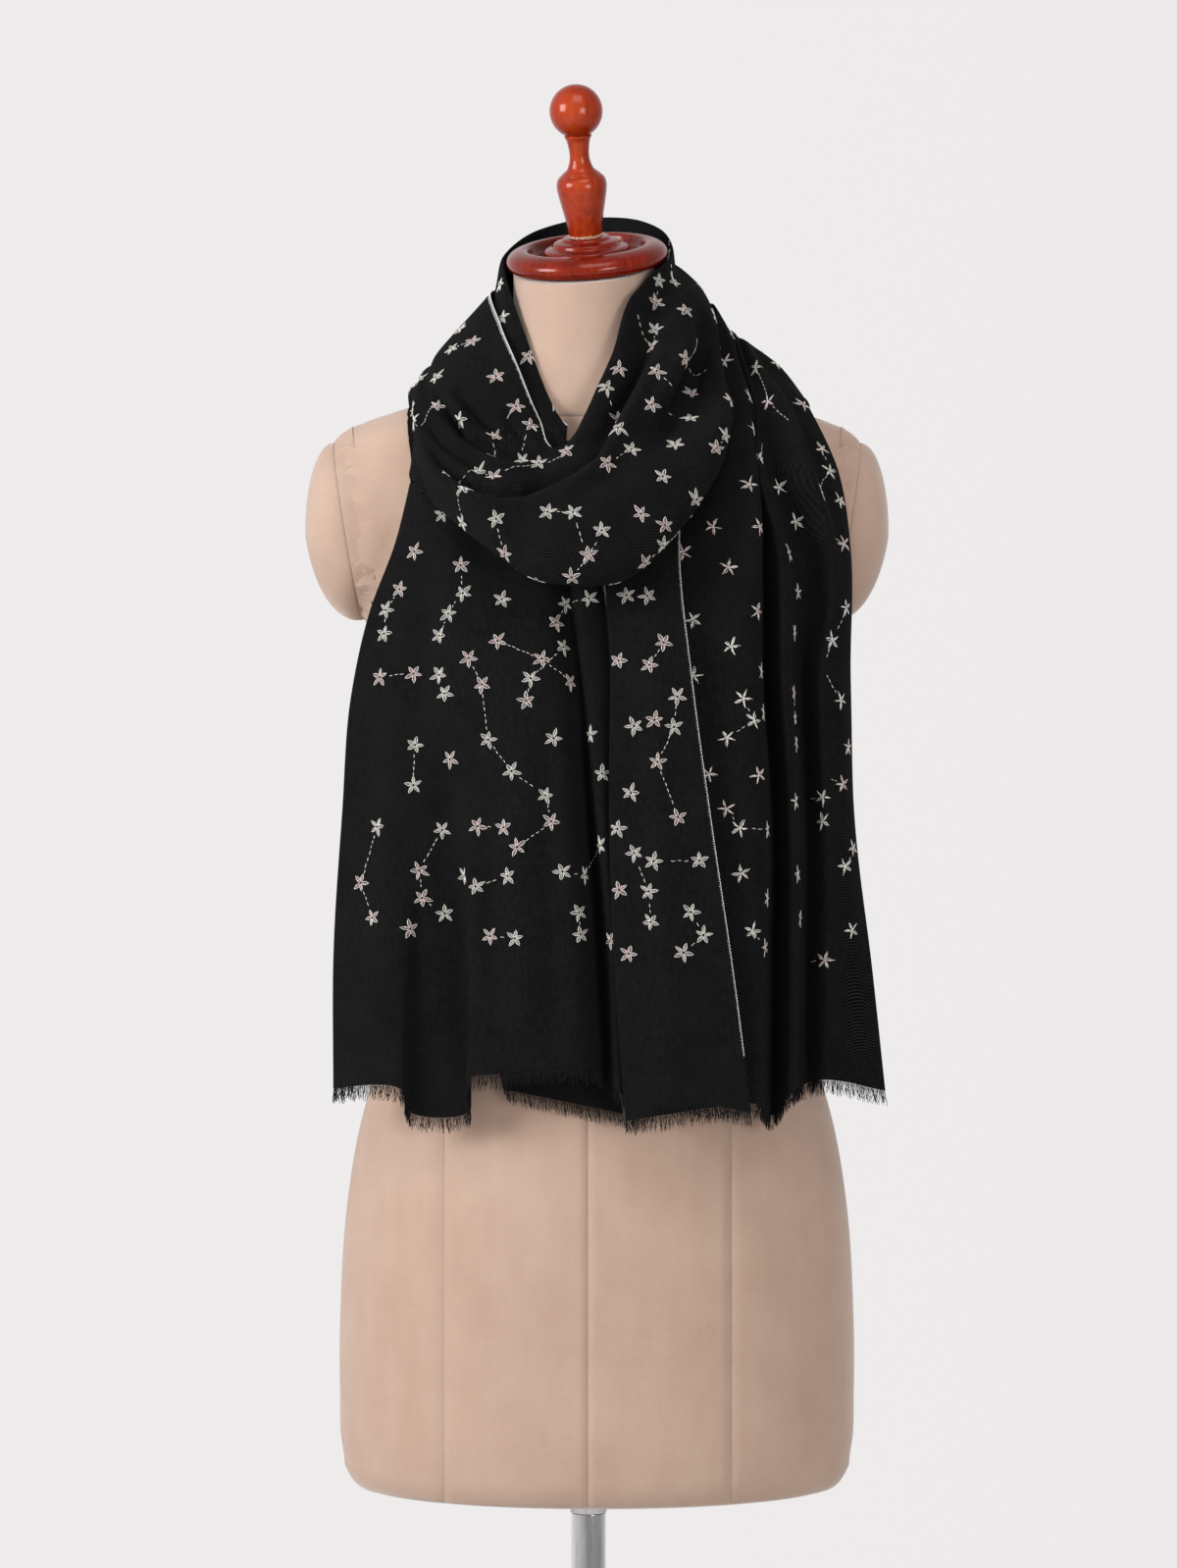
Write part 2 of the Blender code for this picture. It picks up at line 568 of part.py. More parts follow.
def make_neck_cap(wood):
    """Turned disc on the neck and the finial on it."""
    add_turned("neck_cap", CAP_PROFILE, 26, wood, on_neck)
    rise = CAP_PROFILE[-1][1] + GAP
    profile = [(radius, height + rise) for radius, height in FINIAL_PROFILE]
    start = math.asin(profile[-1][0] / BALL_RADIUS)
    for step in range(1, 7):
        angle = start + (math.pi - start) * step / 6
        profile.append((BALL_RADIUS * math.sin(angle), rise + BALL_MIDDLE - BALL_RADIUS * math.cos(angle)))
    profile[-1] = (0.0, rise + BALL_MIDDLE + BALL_RADIUS)
    add_turned("finial", profile, 16, wood, on_neck)


def make_fringe(name, tail, finish):
    """Strands fused into a narrow strip that follows the hem of a tail, given as its middle points."""
    wall = layer_faces(tail)
    hem = tail[-1]
    cuts = 2 * (len(hem) - 1)
    places = np.linspace(0.0, len(hem) - 1.0, cuts + 1)

    def along_hem(values):
        return np.stack([np.interp(places, np.arange(len(hem)), values[:, axis]) for axis in range(3)], axis=1)

    line = along_hem(hem)
    aside = along_hem(-surface_normals(tail)[-1])
    out = along_hem(hem - tail[-2])
    run = along_hem(np.gradient(hem, axis=0))
    aside /= np.linalg.norm(aside, axis=1, keepdims=True)
    out /= np.linalg.norm(out, axis=1, keepdims=True)
    run /= np.linalg.norm(run, axis=1, keepdims=True)
    slant = np.sqrt(1.0 - np.sum(out * run, axis=1, keepdims=True) ** 2)
    out /= np.maximum(slant, 0.3)
    half = WALL * 0.2
    top = line + out * FRINGE_GAP
    low = line + out * (FRINGE_GAP + FRINGE_STRIP)
    points = list(top - aside * half) + list(top + aside * half) + list(low - aside * half) + list(low + aside * half)
    count = len(line)
    faces = [[0, count, 3 * count, 2 * count], [2 * count - 1, count - 1, 3 * count - 1, 4 * count - 1]]
    for cut in range(cuts):
        a, b, c, d = (cut + shift * count for shift in range(4))
        faces += [[a, c, c + 1, a + 1], [b + 1, d + 1, d, b], [a + 1, b + 1, b, a]]
        length = FRINGE_LENGTH * (0.86 + 0.14 * math.sin(cut * 1.2))
        drop = np.array([0.0, 0.0, -length]) + run[cut] * math.sin(cut * 0.85) * FRINGE_SWAY
        corners = (c, d, d + 1, c + 1)
        middle = sum(np.array(points[corner]) for corner in corners) / 4.0
        beside = min(wall.find_nearest(middle + drop * part)[3] for part in (0.35, 0.7, 1.0))
        if cut % 2 == 0 or beside < FRINGE_ROOM:
            faces.append([c, d, d + 1, c + 1])
            continue
        tip = len(points)
        points += [middle + (np.array(points[corner]) - middle) * FRINGE_TIP + drop for corner in corners]
        for side in range(4):
            after = (side + 1) % 4
            faces.append([corners[side], corners[after], tip + after, tip + side])
        faces.append([tip, tip + 1, tip + 2, tip + 3])
    return add_object(name, points, faces, finish, smooth=False)


def make_shawl(form, cloth):
    """The shawl, one wall for each stretch that shows, with a fringe under each hem."""
    clear = FORM_CLEARANCE + WALL * 0.6
    left = rest_on_form(tail_grid(LEFT_ROWS, LEFT_HEM, LEFT_SPLITS, LEFT_ACROSS), form, clear)
    back = wrap_grid(WRAP_ROWS[-1][0] - 1.0, WRAP_ROWS[-1][0] + TAIL_SEAM, 2, len(RIGHT_TOP))[-1]
    top = [[tuple(point) for point in back], list(RIGHT_TOP)]
    right = rest_on_form(tail_grid(RIGHT_ROWS, RIGHT_HEM, RIGHT_SPLITS, RIGHT_ACROSS, top), form, clear + 0.5)
    turned = rest_on_form(tail_grid(TURNED_ROWS, TURNED_HEM, LEFT_SPLITS, TURNED_ACROSS), form, clear)
    tails = [layer_faces(left), layer_faces(right), layer_faces(turned)]
    layers = []
    for name, first, last, along in STRETCHES:
        grid = rest_on_form(wrap_grid(first + SEAM_ANGLE, last - SEAM_ANGLE, along, WRAP_ACROSS), form, clear)
        grid = over_layers(grid, layers)
        if name == "shawl_cowl":
            grid = before_tails(grid, tails)
        layers.append(layer_faces(grid))
        add_wall(name, grid, form, cloth)
    add_wall("shawl_tail_left", left, form, cloth)
    add_wall("shawl_tail_right", right, form, cloth)
    add_wall("shawl_tail_turned", turned, form, cloth)
    make_fringe("fringe_left", left, cloth)
    make_fringe("fringe_right", right, cloth)
    make_fringe("fringe_turned", turned, cloth)


def main():
    """Build the stand, the form and the shawl."""
    for piece in list(bpy.data.objects):
        bpy.data.objects.remove(piece, do_unlink=True)
    metal = material("brushed_chrome", (0.62, 0.62, 0.63), 0.25, 1.0)
    velvet = material("beige_velvet", (0.62, 0.50, 0.42), 0.85)
    wood = material("red_lacquered_wood", (0.33, 0.06, 0.02), 0.22)
    pashmina = material("black_pashmina", (0.012, 0.012, 0.013), 0.9)
    make_stand(metal)
    form = make_torso(velvet)
    make_arm_cap("arm_cap_left", -1, velvet)
    make_arm_cap("arm_cap_right", 1, velvet)
    make_neck_cap(wood)
    make_shawl(form, pashmina)


main()
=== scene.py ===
"""Pashmina shawl wound round the neck of a limbless dress form, dressed for its picture.

Lengths in the tables are millimetres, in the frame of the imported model: +Z up, the form faces -Y and +X is
the viewer's right. They become metres when a mesh is made.
"""
from __future__ import annotations

import logging
import math
import random
from collections.abc import Callable, Sequence
from dataclasses import dataclass, field
from enum import Enum

import bpy
import numpy as np
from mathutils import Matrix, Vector
from mathutils.bvhtree import BVHTree

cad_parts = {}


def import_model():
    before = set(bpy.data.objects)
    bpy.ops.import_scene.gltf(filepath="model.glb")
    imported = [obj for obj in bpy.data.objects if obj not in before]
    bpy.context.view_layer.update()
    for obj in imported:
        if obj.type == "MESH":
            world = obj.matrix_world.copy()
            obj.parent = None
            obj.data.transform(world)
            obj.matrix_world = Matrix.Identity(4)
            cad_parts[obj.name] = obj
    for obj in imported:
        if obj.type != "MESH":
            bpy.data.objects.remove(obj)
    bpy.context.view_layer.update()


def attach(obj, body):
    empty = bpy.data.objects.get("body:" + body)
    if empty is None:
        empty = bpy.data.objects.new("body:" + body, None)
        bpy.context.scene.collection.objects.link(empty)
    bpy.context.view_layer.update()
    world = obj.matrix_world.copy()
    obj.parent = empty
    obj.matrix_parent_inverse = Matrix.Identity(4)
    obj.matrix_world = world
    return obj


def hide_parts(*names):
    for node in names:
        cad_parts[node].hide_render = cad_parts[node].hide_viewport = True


LOG = logging.getLogger("shawl")
MM = 0.001
ROOT = "root"
Point = tuple[float, float, float]
Pair = tuple[float, float]

# Form: height, half width, front depth, back depth
FORM_LEVELS = (
    (628, 150, 89, 97),
    (630, 163, 98, 107),
    (638, 175, 107, 117),
    (656, 180.5, 112, 122),
    (700, 183, 114, 125),
    (760, 182.5, 115, 127),
    (820, 179, 114, 122),
    (880, 170, 109, 110),
    (940, 154, 100, 95),
    (1000, 140, 92, 84),
    (1055, 139, 97, 82),
    (1110, 147, 108, 87),
    (1170, 156, 119, 93),
    (1215, 161, 115, 97),
    (1260, 166, 103, 99),
    (1300, 172, 90, 98),
    (1335, 179, 80, 95),
    (1360, 186, 75, 88),
    (1373, 187, 71, 81),
    (1380, 179, 69, 77),
    (1388, 160, 67, 73),
    (1397, 131, 66, 69),
    (1407, 102, 63, 65),
    (1420, 74, 60, 61),
    (1440, 57, 58, 57),
    (1466, 51.5, 57.5, 53),
    (1497, 50.5, 57, 51),
)

# Turn round the neck: winding angle, then radius and height of edge, rim, valley, ridge, bulge, lip, tuck
WRAP_ROWS = (
    (8, (83, 1377), (86, 1373), (89, 1365), (92, 1357), (95, 1351), (97.5, 1345), (99, 1338.5)),
    (22, (70, 1394), (71, 1402), (75, 1399), (80, 1391), (84, 1379), (89, 1364), (94, 1352)),
    (40, (61, 1428), (62, 1438), (66, 1434), (72, 1424), (80, 1406), (90, 1386), (97, 1370)),
    (60, (57, 1456), (58, 1468), (61, 1464), (66, 1452), (72, 1431), (84, 1412), (96, 1400)),
    (85, (55, 1480), (57, 1493), (59, 1490), (62, 1478), (68, 1455), (76, 1434), (88, 1419)),
    (115, (60, 1496), (62, 1510), (64, 1507), (66, 1494), (70, 1467), (78, 1441), (88, 1423)),
    (150, (62, 1514), (65, 1531), (68, 1528), (71, 1512), (76, 1482), (82, 1450), (89, 1428)),
    (185, (63, 1522), (67, 1541), (71, 1537), (74, 1520), (79, 1490), (85, 1455), (90, 1430)),
    (215, (63, 1518), (66, 1538), (70, 1528), (74, 1514), (80, 1488), (87, 1454), (91, 1431)),
    (238, (62, 1510), (65, 1528), (67, 1512), (73, 1505), (82, 1480), (88, 1450), (88, 1432)),
    (272, (59, 1486), (63, 1506), (66, 1490), (77, 1486), (93, 1460), (95, 1432), (91, 1426)),
    (295, (58, 1480), (62, 1495), (66, 1480), (79, 1471), (101, 1427), (107, 1412), (103, 1410)),
    (318, (58, 1460), (61, 1478), (67, 1455), (84, 1440), (134, 1371), (142, 1350), (136, 1348)),
    (336, (66, 1438), (70, 1455), (80, 1424), (99, 1402), (155, 1320), (153, 1299), (141, 1303)),
    (350, (79, 1390), (84, 1405), (97, 1385), (113, 1373), (167, 1294), (160, 1267), (148, 1271)),
    (362, (94, 1360), (97, 1370), (111, 1357), (131, 1344), (170, 1289), (159, 1263), (147, 1268)),
    (375, (99, 1364), (107, 1358), (115, 1345), (139, 1328), (169, 1293), (156, 1271), (144, 1275)),
    (380, (87, 1378), (108, 1362), (115.5, 1348.5), (139, 1332), (167, 1301), (155, 1280), (144, 1283)),
    (385, (84, 1391), (109, 1366), (116, 1352), (139, 1336), (164, 1311), (154, 1289), (144, 1292)),
    (395, (80, 1418), (110, 1371), (118, 1357), (138, 1344), (156, 1328), (150, 1306), (144, 1309)),
    (418, (69.5, 1451), (115, 1404), (122, 1391), (131, 1383), (137, 1366), (133, 1340), (127, 1342)),
    (445, (67, 1475), (105, 1434), (110, 1424), (115, 1420), (120, 1412), (124, 1406), (119, 1404)),
    (475, (69, 1485), (97, 1447), (104, 1437), (112, 1430), (126, 1405), (133, 1386), (128, 1380)),
    (505, (80, 1503), (94, 1472), (102, 1452), (114, 1430), (129, 1382), (134, 1335), (128, 1326)),
    (540, (83, 1507), (92, 1484), (98, 1460), (107, 1432), (118, 1372), (121, 1310), (117, 1298)),
    (575, (86, 1498), (95, 1478), (102, 1458), (112, 1434), (126, 1387), (134, 1336), (129, 1322)),
    (605, (93, 1475), (98, 1463), (104, 1451), (115, 1437), (136, 1412), (156, 1388), (164, 1368)),
)

# Creases of the turn by winding angle and height: start, end, height of the fold, half breadth
WRAP_CREASES = (
    ((286, 1452), (322, 1390), -13, 13),
    ((322, 1390), (338, 1352), -7, 12),
    ((470, 1470), (560, 1392), -7, 10),
    ((480, 1430), (575, 1352), -7, 11),
    ((520, 1486), (600, 1440), -6, 9),
)

# Left tail by height: selvedge, strip, groove, crest, panel, near fold, two pleat lines, far fold, outline,
# behind, lower, end
LEFT_ROWS = (
    (1366, (-8, -88), (-16, -89), (-21, -86), (-30, -90), (-54, -89), (-64, -88), (-74, -87), (-85, -86),
     (-99, -80), (-118, -61), (-104, -64), (-88, -70), (-72, -76)),
    (1338, (-4, -99), (-14, -100), (-20, -96), (-30, -101), (-56, -100), (-67, -99), (-77, -98),
     (-90, -97), (-106, -89), (-124, -68), (-108, -72), (-88, -79), (-68, -86)),
    (1296, (4, -106), (-8, -109), (-16, -101), (-26, -108), (-58, -106), (-73, -103), (-84, -103),
     (-98, -101), (-114, -92), (-134, -75), (-112, -81), (-88, -88), (-66, -94)),
    (1250, (13, -119), (-4, -122), (-12, -112), (-24, -121), (-60, -120), (-76, -116), (-88, -113),
     (-102, -107), (-119, -98), (-151, -78), (-114, -90), (-84, -101), (-60, -109)),
    (1190, (17, -131), (2, -134), (-5, -121), (-16, -134), (-60, -132), (-79, -127), (-92, -123),
     (-108, -116), (-124, -107), (-164, -84), (-116, -98), (-80, -113), (-40, -124)),
    (1110, (20, -134), (8, -138), (1, -117), (-9, -138), (-62, -135), (-82, -129), (-90, -123),
     (-108, -116), (-124, -110), (-170, -86), (-116, -100), (-70, -109), (-20, -115)),
    (1010, (25, -134), (17, -138), (8, -115), (-1, -138), (-62, -137), (-84, -131), (-84, -120),
     (-116, -112), (-126, -117), (-176, -88), (-118, -99), (-64, -107), (0, -112)),
    (921, (29, -133), (21, -138), (12, -118), (3, -138), (-62, -138), (-84, -132), (-81, -119),
     (-121, -110), (-127, -120), (-176, -89), (-112, -98), (-58, -106), (24, -111)),
)
LEFT_HEM = (913, 920, 927, 934, 932, 926, 906, 903, 919, 919, 932, 921, 905)

# Right tail by height: turn, under, three crests with a groove behind each, side, outline
RIGHT_ROWS = (
    (1400, (88, -42), (98, -46), (110, -50), (114, -40), (117, -44), (120, -40), (136, -50), (139, -38),
     (148, -33), (153, -27)),
    (1345, (42, -87), (68, -82), (112, -94), (115, -76), (119, -90), (128, -72), (155, -88), (158, -70),
     (167, -67), (175, -58)),
    (1290, (18, -115), (62, -109), (114, -117), (120, -86), (132, -111), (145, -80), (168, -94),
     (174, -86), (179, -81), (182, -74)),
    (1200, (17, -139), (69, -134), (114, -129), (122, -90), (134, -120), (147, -84), (160, -105),
     (168, -100), (176, -91), (181, -82)),
    (1110, (16, -142), (81, -138), (118, -135), (128, -95), (139, -125), (150, -88), (163, -108),
     (171, -102), (178, -95), (183, -86)),
    (1000, (20, -143), (97, -139), (118, -135), (128, -95), (139, -125), (150, -88), (164, -108),
     (176, -103), (188, -96), (196, -88)),
    (920, (27, -143), (104, -139), (117, -134), (127, -98), (137, -124), (150, -90), (164, -108),
     (178, -102), (193, -95), (205, -88)),
)
RIGHT_TOP = (
    ((91, 2, 1466), (94, 1, 1462), (98, -1, 1456), (101, 2, 1452), (104, 0, 1450), (107, 3, 1447),
     (111, -1, 1445), (116, 3, 1442), (137, 3, 1425), (157, 4, 1396)),
    ((91, -14, 1434), (95, -17, 1432), (104, -26, 1429), (107, -19, 1427), (110, -22, 1427),
     (113, -18, 1424), (121, -26, 1425), (126, -16, 1420), (143, -14, 1413), (156, -12, 1399)),
)
RIGHT_HEM = (901, 912, 910, 901, 917, 922, 926, 924, 920, 917)

# Turned-over near edge of the right tail by height: selvedge, front, turn
TURNED_ROWS = (
    (1380, (74, -86), (62, -88), (52, -88)),
    (1345, (66, -98), (54, -97), (42, -94.5)),
    (1290, (62, -122), (36, -122), (18, -120)),
    (1200, (70, -146), (38, -147), (17, -142.5)),
    (1110, (82, -149), (42, -151), (16, -145.5)),
    (1000, (98, -150), (48, -152), (20, -146.5)),
    (920, (110, -150), (52, -152), (27, -146.5)),
)
TURNED_HEM = (907, 914, 901)


class Facing(Enum):
    """Which side of the embroidered cloth is seen."""

    FACE = "face"
    REVERSE = "reverse"


class Wool(Enum):
    """Colours of embroidery thread, as their place among a piece's finishes."""

    CREAM = 0
    PINK = 1


def hermite(knots: np.ndarray, values: np.ndarray, places: np.ndarray) -> np.ndarray:
    """Read a smooth curve through rows of values.

    Args:
        knots: Rising places of the rows.
        values: One row of numbers for each knot.
        places: Where the curve is read.

    Returns:
        One row of numbers for each place.
    """
    knots = np.asarray(knots, dtype=float)
    values = np.asarray(values, dtype=float)
    places = np.asarray(places, dtype=float)
    steps = np.diff(knots)
    slopes = np.diff(values, axis=0) / steps[:, None]
    weights = steps[1:, None] / (steps[:-1, None] + steps[1:, None])
    inner = slopes[:-1] * weights + slopes[1:] * (1 - weights)
    tangents = np.vstack([slopes[:1], inner, slopes[-1:]])
    spans = np.clip(np.searchsorted(knots, places, side="right") - 1, 0, len(steps) - 1)
    part = ((places - knots[spans]) / steps[spans])[:, None]
    length = steps[spans][:, None]
    start = values[spans] * (1 + 2 * part) * (1 - part) ** 2
    end = values[spans + 1] * part ** 2 * (3 - 2 * part)
    bend = tangents[spans] * part * (1 - part) ** 2 - tangents[spans + 1] * part ** 2 * (1 - part)
    return start + end + bend * length


def unit(vectors: np.ndarray) -> np.ndarray:
    """Scale vectors to length one."""
    return vectors / (np.linalg.norm(vectors, axis=-1, keepdims=True) + 1e-12)


def surface_normals(grid: np.ndarray) -> np.ndarray:
    """Give the unit normals of a grid of points."""
    return unit(np.cross(np.gradient(grid, axis=0), np.gradient(grid, axis=1)))


def smooth_step(values: np.ndarray) -> np.ndarray:
    """Ease a share from 0 to 1."""
    share = np.clip(values, 0.0, 1.0)
    return share * share * (3 - 2 * share)


def running_total(steps: np.ndarray) -> np.ndarray:
    """Add steps up from zero."""
    return np.concatenate([[0.0], np.cumsum(steps)])


def places_along(path: np.ndarray) -> np.ndarray:
    """Give how far each point of a path lies from its start."""
    return running_total(np.linalg.norm(np.diff(path, axis=0), axis=1))


def read_path(places: np.ndarray, lengths: np.ndarray, values: np.ndarray) -> np.ndarray:
    """Read points or directions along a path.

    Args:
        places: How far along they are read.
        lengths: How far along each value stands.
        values: One row of three numbers for each length.

    Returns:
        One row of three numbers for each place.
    """
    return np.stack([np.interp(places, lengths, values[:, axis]) for axis in range(3)], axis=1)


def ring_faces(lower: Sequence[int], upper: Sequence[int], inward: bool = False) -> list[tuple[int, ...]]:
    """Give the faces between two rings of corners, either of which may be a single tip.

    Args:
        lower: Corner numbers of the first ring.
        upper: Corner numbers of the second ring.
        inward: Whether the faces look the other way.

    Returns:
        The faces.
    """
    count = max(len(lower), len(upper))
    faces = []
    for step in range(count):
        after = (step + 1) % count
        if len(lower) == 1:
            face = (lower[0], upper[after], upper[step])
        elif len(upper) == 1:
            face = (lower[step], lower[after], upper[0])
        else:
            face = (lower[step], lower[after], upper[after], upper[step])
        faces.append((face[0], *face[:0:-1]) if inward else face)
    return faces


def tube_faces(rings: int, count: int, inward: bool = False) -> list[tuple[int, ...]]:
    """Give the side faces of rings whose corners are numbered one ring after the other.

    Args:
        rings: Number of rings.
        count: Number of corners in a ring.
        inward: Whether the faces look the other way.

    Returns:
        The faces.
    """
    numbered = [range(ring * count, (ring + 1) * count) for ring in range(rings)]
    pairs = zip(numbered, numbered[1:])
    return [face for lower, upper in pairs for face in ring_faces(lower, upper, inward)]


class Shader:
    """A finish's node tree, put together by short calls."""

    def __init__(self, name: str) -> None:
        """Start an empty finish with one main shader.

        Args:
            name: Name of the finish.
        """
        self.material = bpy.data.materials.new(name)
        self.material.use_nodes = True
        self.nodes = self.material.node_tree.nodes
        self.main = self.nodes["Principled BSDF"]

    def put(self, **sockets: float | tuple) -> None:
        """Set constant values on the main shader.

        Args:
            **sockets: Socket names with underscores for spaces, and their values.
        """
        for name, value in sockets.items():
            self.main.inputs[name.replace("_", " ")].default_value = value

    def join(self, source: bpy.types.NodeSocket, target: bpy.types.NodeSocket) -> None:
        """Link one socket to another."""
        self.material.node_tree.links.new(source, target)

    def coordinate(self, output: str) -> bpy.types.NodeSocket:
        """Give a texture coordinate."""
        return self.nodes.new("ShaderNodeTexCoord").outputs[output]

    def scaled(self, vector: bpy.types.NodeSocket, scale: Point) -> bpy.types.NodeSocket:
        """Scale a vector.

        Args:
            vector: The vector's socket.
            scale: Factor along each axis.

        Returns:
            The scaled vector's socket.
        """
        node = self.nodes.new("ShaderNodeMapping")
        node.inputs["Scale"].default_value = scale
        self.join(vector, node.inputs["Vector"])
        return node.outputs["Vector"]

    def noise(self, vector: bpy.types.NodeSocket, scale: float, detail: float = 3.0,
              roughness: float = 0.55) -> bpy.types.NodeSocket:
        """Give a noise value.

        Args:
            vector: Where the noise is read.
            scale: Waves per unit.
            detail: Number of octaves.
            roughness: Share of the fine octaves.

        Returns:
            The socket of the noise value.
        """
        node = self.nodes.new("ShaderNodeTexNoise")
        node.inputs["Scale"].default_value = scale
        node.inputs["Detail"].default_value = detail
        node.inputs["Roughness"].default_value = roughness
        self.join(vector, node.inputs["Vector"])
        return node.outputs["Fac"]

    def maths(self, operation: str, first: bpy.types.NodeSocket | float,
              second: bpy.types.NodeSocket | float = 0.0) -> bpy.types.NodeSocket:
        """Work out one step of arithmetic.

        Args:
            operation: Name of the step.
            first: First number or socket.
            second: Second number or socket.

        Returns:
            The result's socket.
        """
        node = self.nodes.new("ShaderNodeMath")
        node.operation = operation
        for place, value in enumerate((first, second)):
            if isinstance(value, bpy.types.NodeSocket):
                self.join(value, node.inputs[place])
            else:
                node.inputs[place].default_value = value
        return node.outputs[0]

    def mixed(self, *parts: tuple[bpy.types.NodeSocket, float]) -> bpy.types.NodeSocket:
        """Add values up, each by its weight.

        Args:
            *parts: Socket and weight of each value.

        Returns:
            The sum's socket.
        """
        first, *others = [self.maths("MULTIPLY", socket, weight) for socket, weight in parts]
        for other in others:
            first = self.maths("ADD", first, other)
        return first

    def ramp(self, value: bpy.types.NodeSocket,
             stops: tuple[tuple[float, Point], ...]) -> bpy.types.NodeSocket:
        """Turn a value into a colour.

        Args:
            value: The value's socket.
            stops: Place and colour of each stop.

        Returns:
            The colour's socket.
        """
        node = self.nodes.new("ShaderNodeValToRGB")
        elements = node.color_ramp.elements
        while len(elements) < len(stops):
            elements.new(0.5)
        for element, (place, colour) in zip(elements, stops):
            element.position = place
            element.color = (*colour, 1.0)
        self.join(value, node.inputs["Fac"])
        return node.outputs["Color"]

    def colour(self, socket: bpy.types.NodeSocket) -> None:
        """Link the base colour."""
        self.join(socket, self.main.inputs["Base Color"])

    def bump(self, height: bpy.types.NodeSocket, distance: float, strength: float = 1.0) -> None:
        """Raise the surface by a height.

        Args:
            height: Socket of the height.
            distance: Size of the step in metres.
            strength: Share of the effect.
        """
        node = self.nodes.new("ShaderNodeBump")
        node.inputs["Distance"].default_value = distance
        node.inputs["Strength"].default_value = strength
        self.join(height, node.inputs["Height"])
        self.join(node.outputs["Normal"], self.main.inputs["Normal"])


@dataclass(frozen=True)
class TwillFinish:
    """Black fine wool twill."""

    name: str = "black_twill"
    pitch: float = 1.6
    rib_slant: float = 0.8
    rib_wander: float = 2.2
    pick_slant: float = -1.1
    picks_to_a_rib: float = 1.45
    dark: Point = (0.0003, 0.0003, 0.0004)
    light: Point = (0.0140, 0.0137, 0.0139)

    def build(self) -> bpy.types.Material:
        """Make the twill with its ribs, fuzz and uneven dye; the ribs carry a painted highlight and painted
        shade.

        Returns:
            The material.
        """
        shader = Shader(self.name)
        cloth = shader.coordinate("UV")
        node = shader.nodes.new("ShaderNodeSeparateXYZ")
        shader.join(cloth, node.inputs["Vector"])
        across, along = node.outputs["X"], node.outputs["Y"]
        turn = 2 * math.pi / (self.pitch * MM)
        wander = shader.noise(cloth, scale=90.0, detail=2.0)
        slant = shader.mixed((across, 1.0), (along, self.rib_slant))
        ribs = shader.maths("SINE", shader.mixed((slant, turn), (wander, self.rib_wander)))
        crossing = shader.mixed((across, 1.0), (along, self.pick_slant))
        picks = shader.maths("SINE", shader.maths("MULTIPLY", crossing, turn * self.picks_to_a_rib))
        # Ribs and picks: relief for the bump, and in the colour a painted highlight on their crests and
        # painted shade between them
        weave_relief_and_painted_light = shader.mixed((ribs, 0.34), (picks, 0.14))
        fuzz = shader.noise(cloth, scale=1500.0, detail=2.0)
        slubs = shader.noise(shader.scaled(cloth, (1.0, 0.35, 1.0)), scale=420.0, detail=2.0)
        cloud = shader.noise(cloth, scale=28.0)
        # Colour: painted rib highlight and shade, with the fuzz, the slubs and the uneven dye of the cloud
        tone = shader.mixed((weave_relief_and_painted_light, 1.0), (fuzz, 0.55), (slubs, 0.5), (cloud, 0.3))
        shader.colour(shader.ramp(tone, ((0.45, self.dark), (0.96, self.light))))
        shader.bump(shader.mixed((weave_relief_and_painted_light, 1.0), (fuzz, 0.6)), distance=0.00035, strength=0.7)
        shader.put(Roughness=0.95, Specular_IOR_Level=0.03, Sheen_Weight=0.015, Sheen_Roughness=0.5,
                   Sheen_Tint=(0.7, 0.7, 0.74, 1.0))
        return shader.material


@dataclass(frozen=True)
class ThreadFinish:
    """Embroidery thread of one colour."""

    name: str
    dark: Point
    light: Point

    def build(self) -> bpy.types.Material:
        """Make the thread with its small changes of tone.

        Returns:
            The material.
        """
        shader = Shader(self.name)
        place = shader.coordinate("Object")
        tone = shader.noise(place, scale=900.0, detail=2.0)
        shader.colour(shader.ramp(tone, ((0.3, self.dark), (0.7, self.light))))
        shader.bump(shader.noise(place, scale=2600.0, detail=1.0), distance=0.0002, strength=0.5)
        shader.put(Roughness=0.55, Sheen_Weight=0.2)
        return shader.material


@dataclass(frozen=True)
class YarnFinish:
    """Loose black yarn of the frayed hems."""

    name: str = "black_yarn"
    dark: Point = (0.002, 0.002, 0.0022)
    light: Point = (0.012, 0.0118, 0.0115)

    def build(self) -> bpy.types.Material:
        """Make the yarn with its uneven black.

        Returns:
            The material.
        """
        shader = Shader(self.name)
        tone = shader.noise(shader.coordinate("Object"), scale=700.0, detail=2.0)
        shader.colour(shader.ramp(tone, ((0.3, self.dark), (0.75, self.light))))
        shader.put(Roughness=0.9, Specular_IOR_Level=0.1)
        return shader.material


@dataclass(frozen=True)
class VelvetFinish:
    """Short beige velvet of the form."""

    name: str = "beige_velvet"
    dark: Point = (0.372, 0.248, 0.186)
    light: Point = (0.470, 0.340, 0.268)

    def build(self) -> bpy.types.Material:
        """Make the velvet with rubbed patches and a fine nap.

        Returns:
            The material.
        """
        shader = Shader(self.name)
        place = shader.coordinate("Object")
        patches = shader.noise(place, scale=11.0, detail=4.0, roughness=0.6)
        strokes = shader.noise(shader.scaled(place, (1.0, 1.0, 0.35)), scale=60.0)
        nap = shader.noise(place, scale=1300.0, detail=2.0)
        tone = shader.mixed((patches, 0.55), (strokes, 0.25), (nap, 0.2))
        shader.colour(shader.ramp(tone, ((0.28, self.dark), (0.72, self.light))))
        shader.bump(nap, distance=0.0006, strength=0.5)
        shader.put(Roughness=0.9, Specular_IOR_Level=0.2, Sheen_Weight=0.6, Sheen_Roughness=0.38,
                   Sheen_Tint=(1.0, 0.98, 0.95, 1.0))
        return shader.material


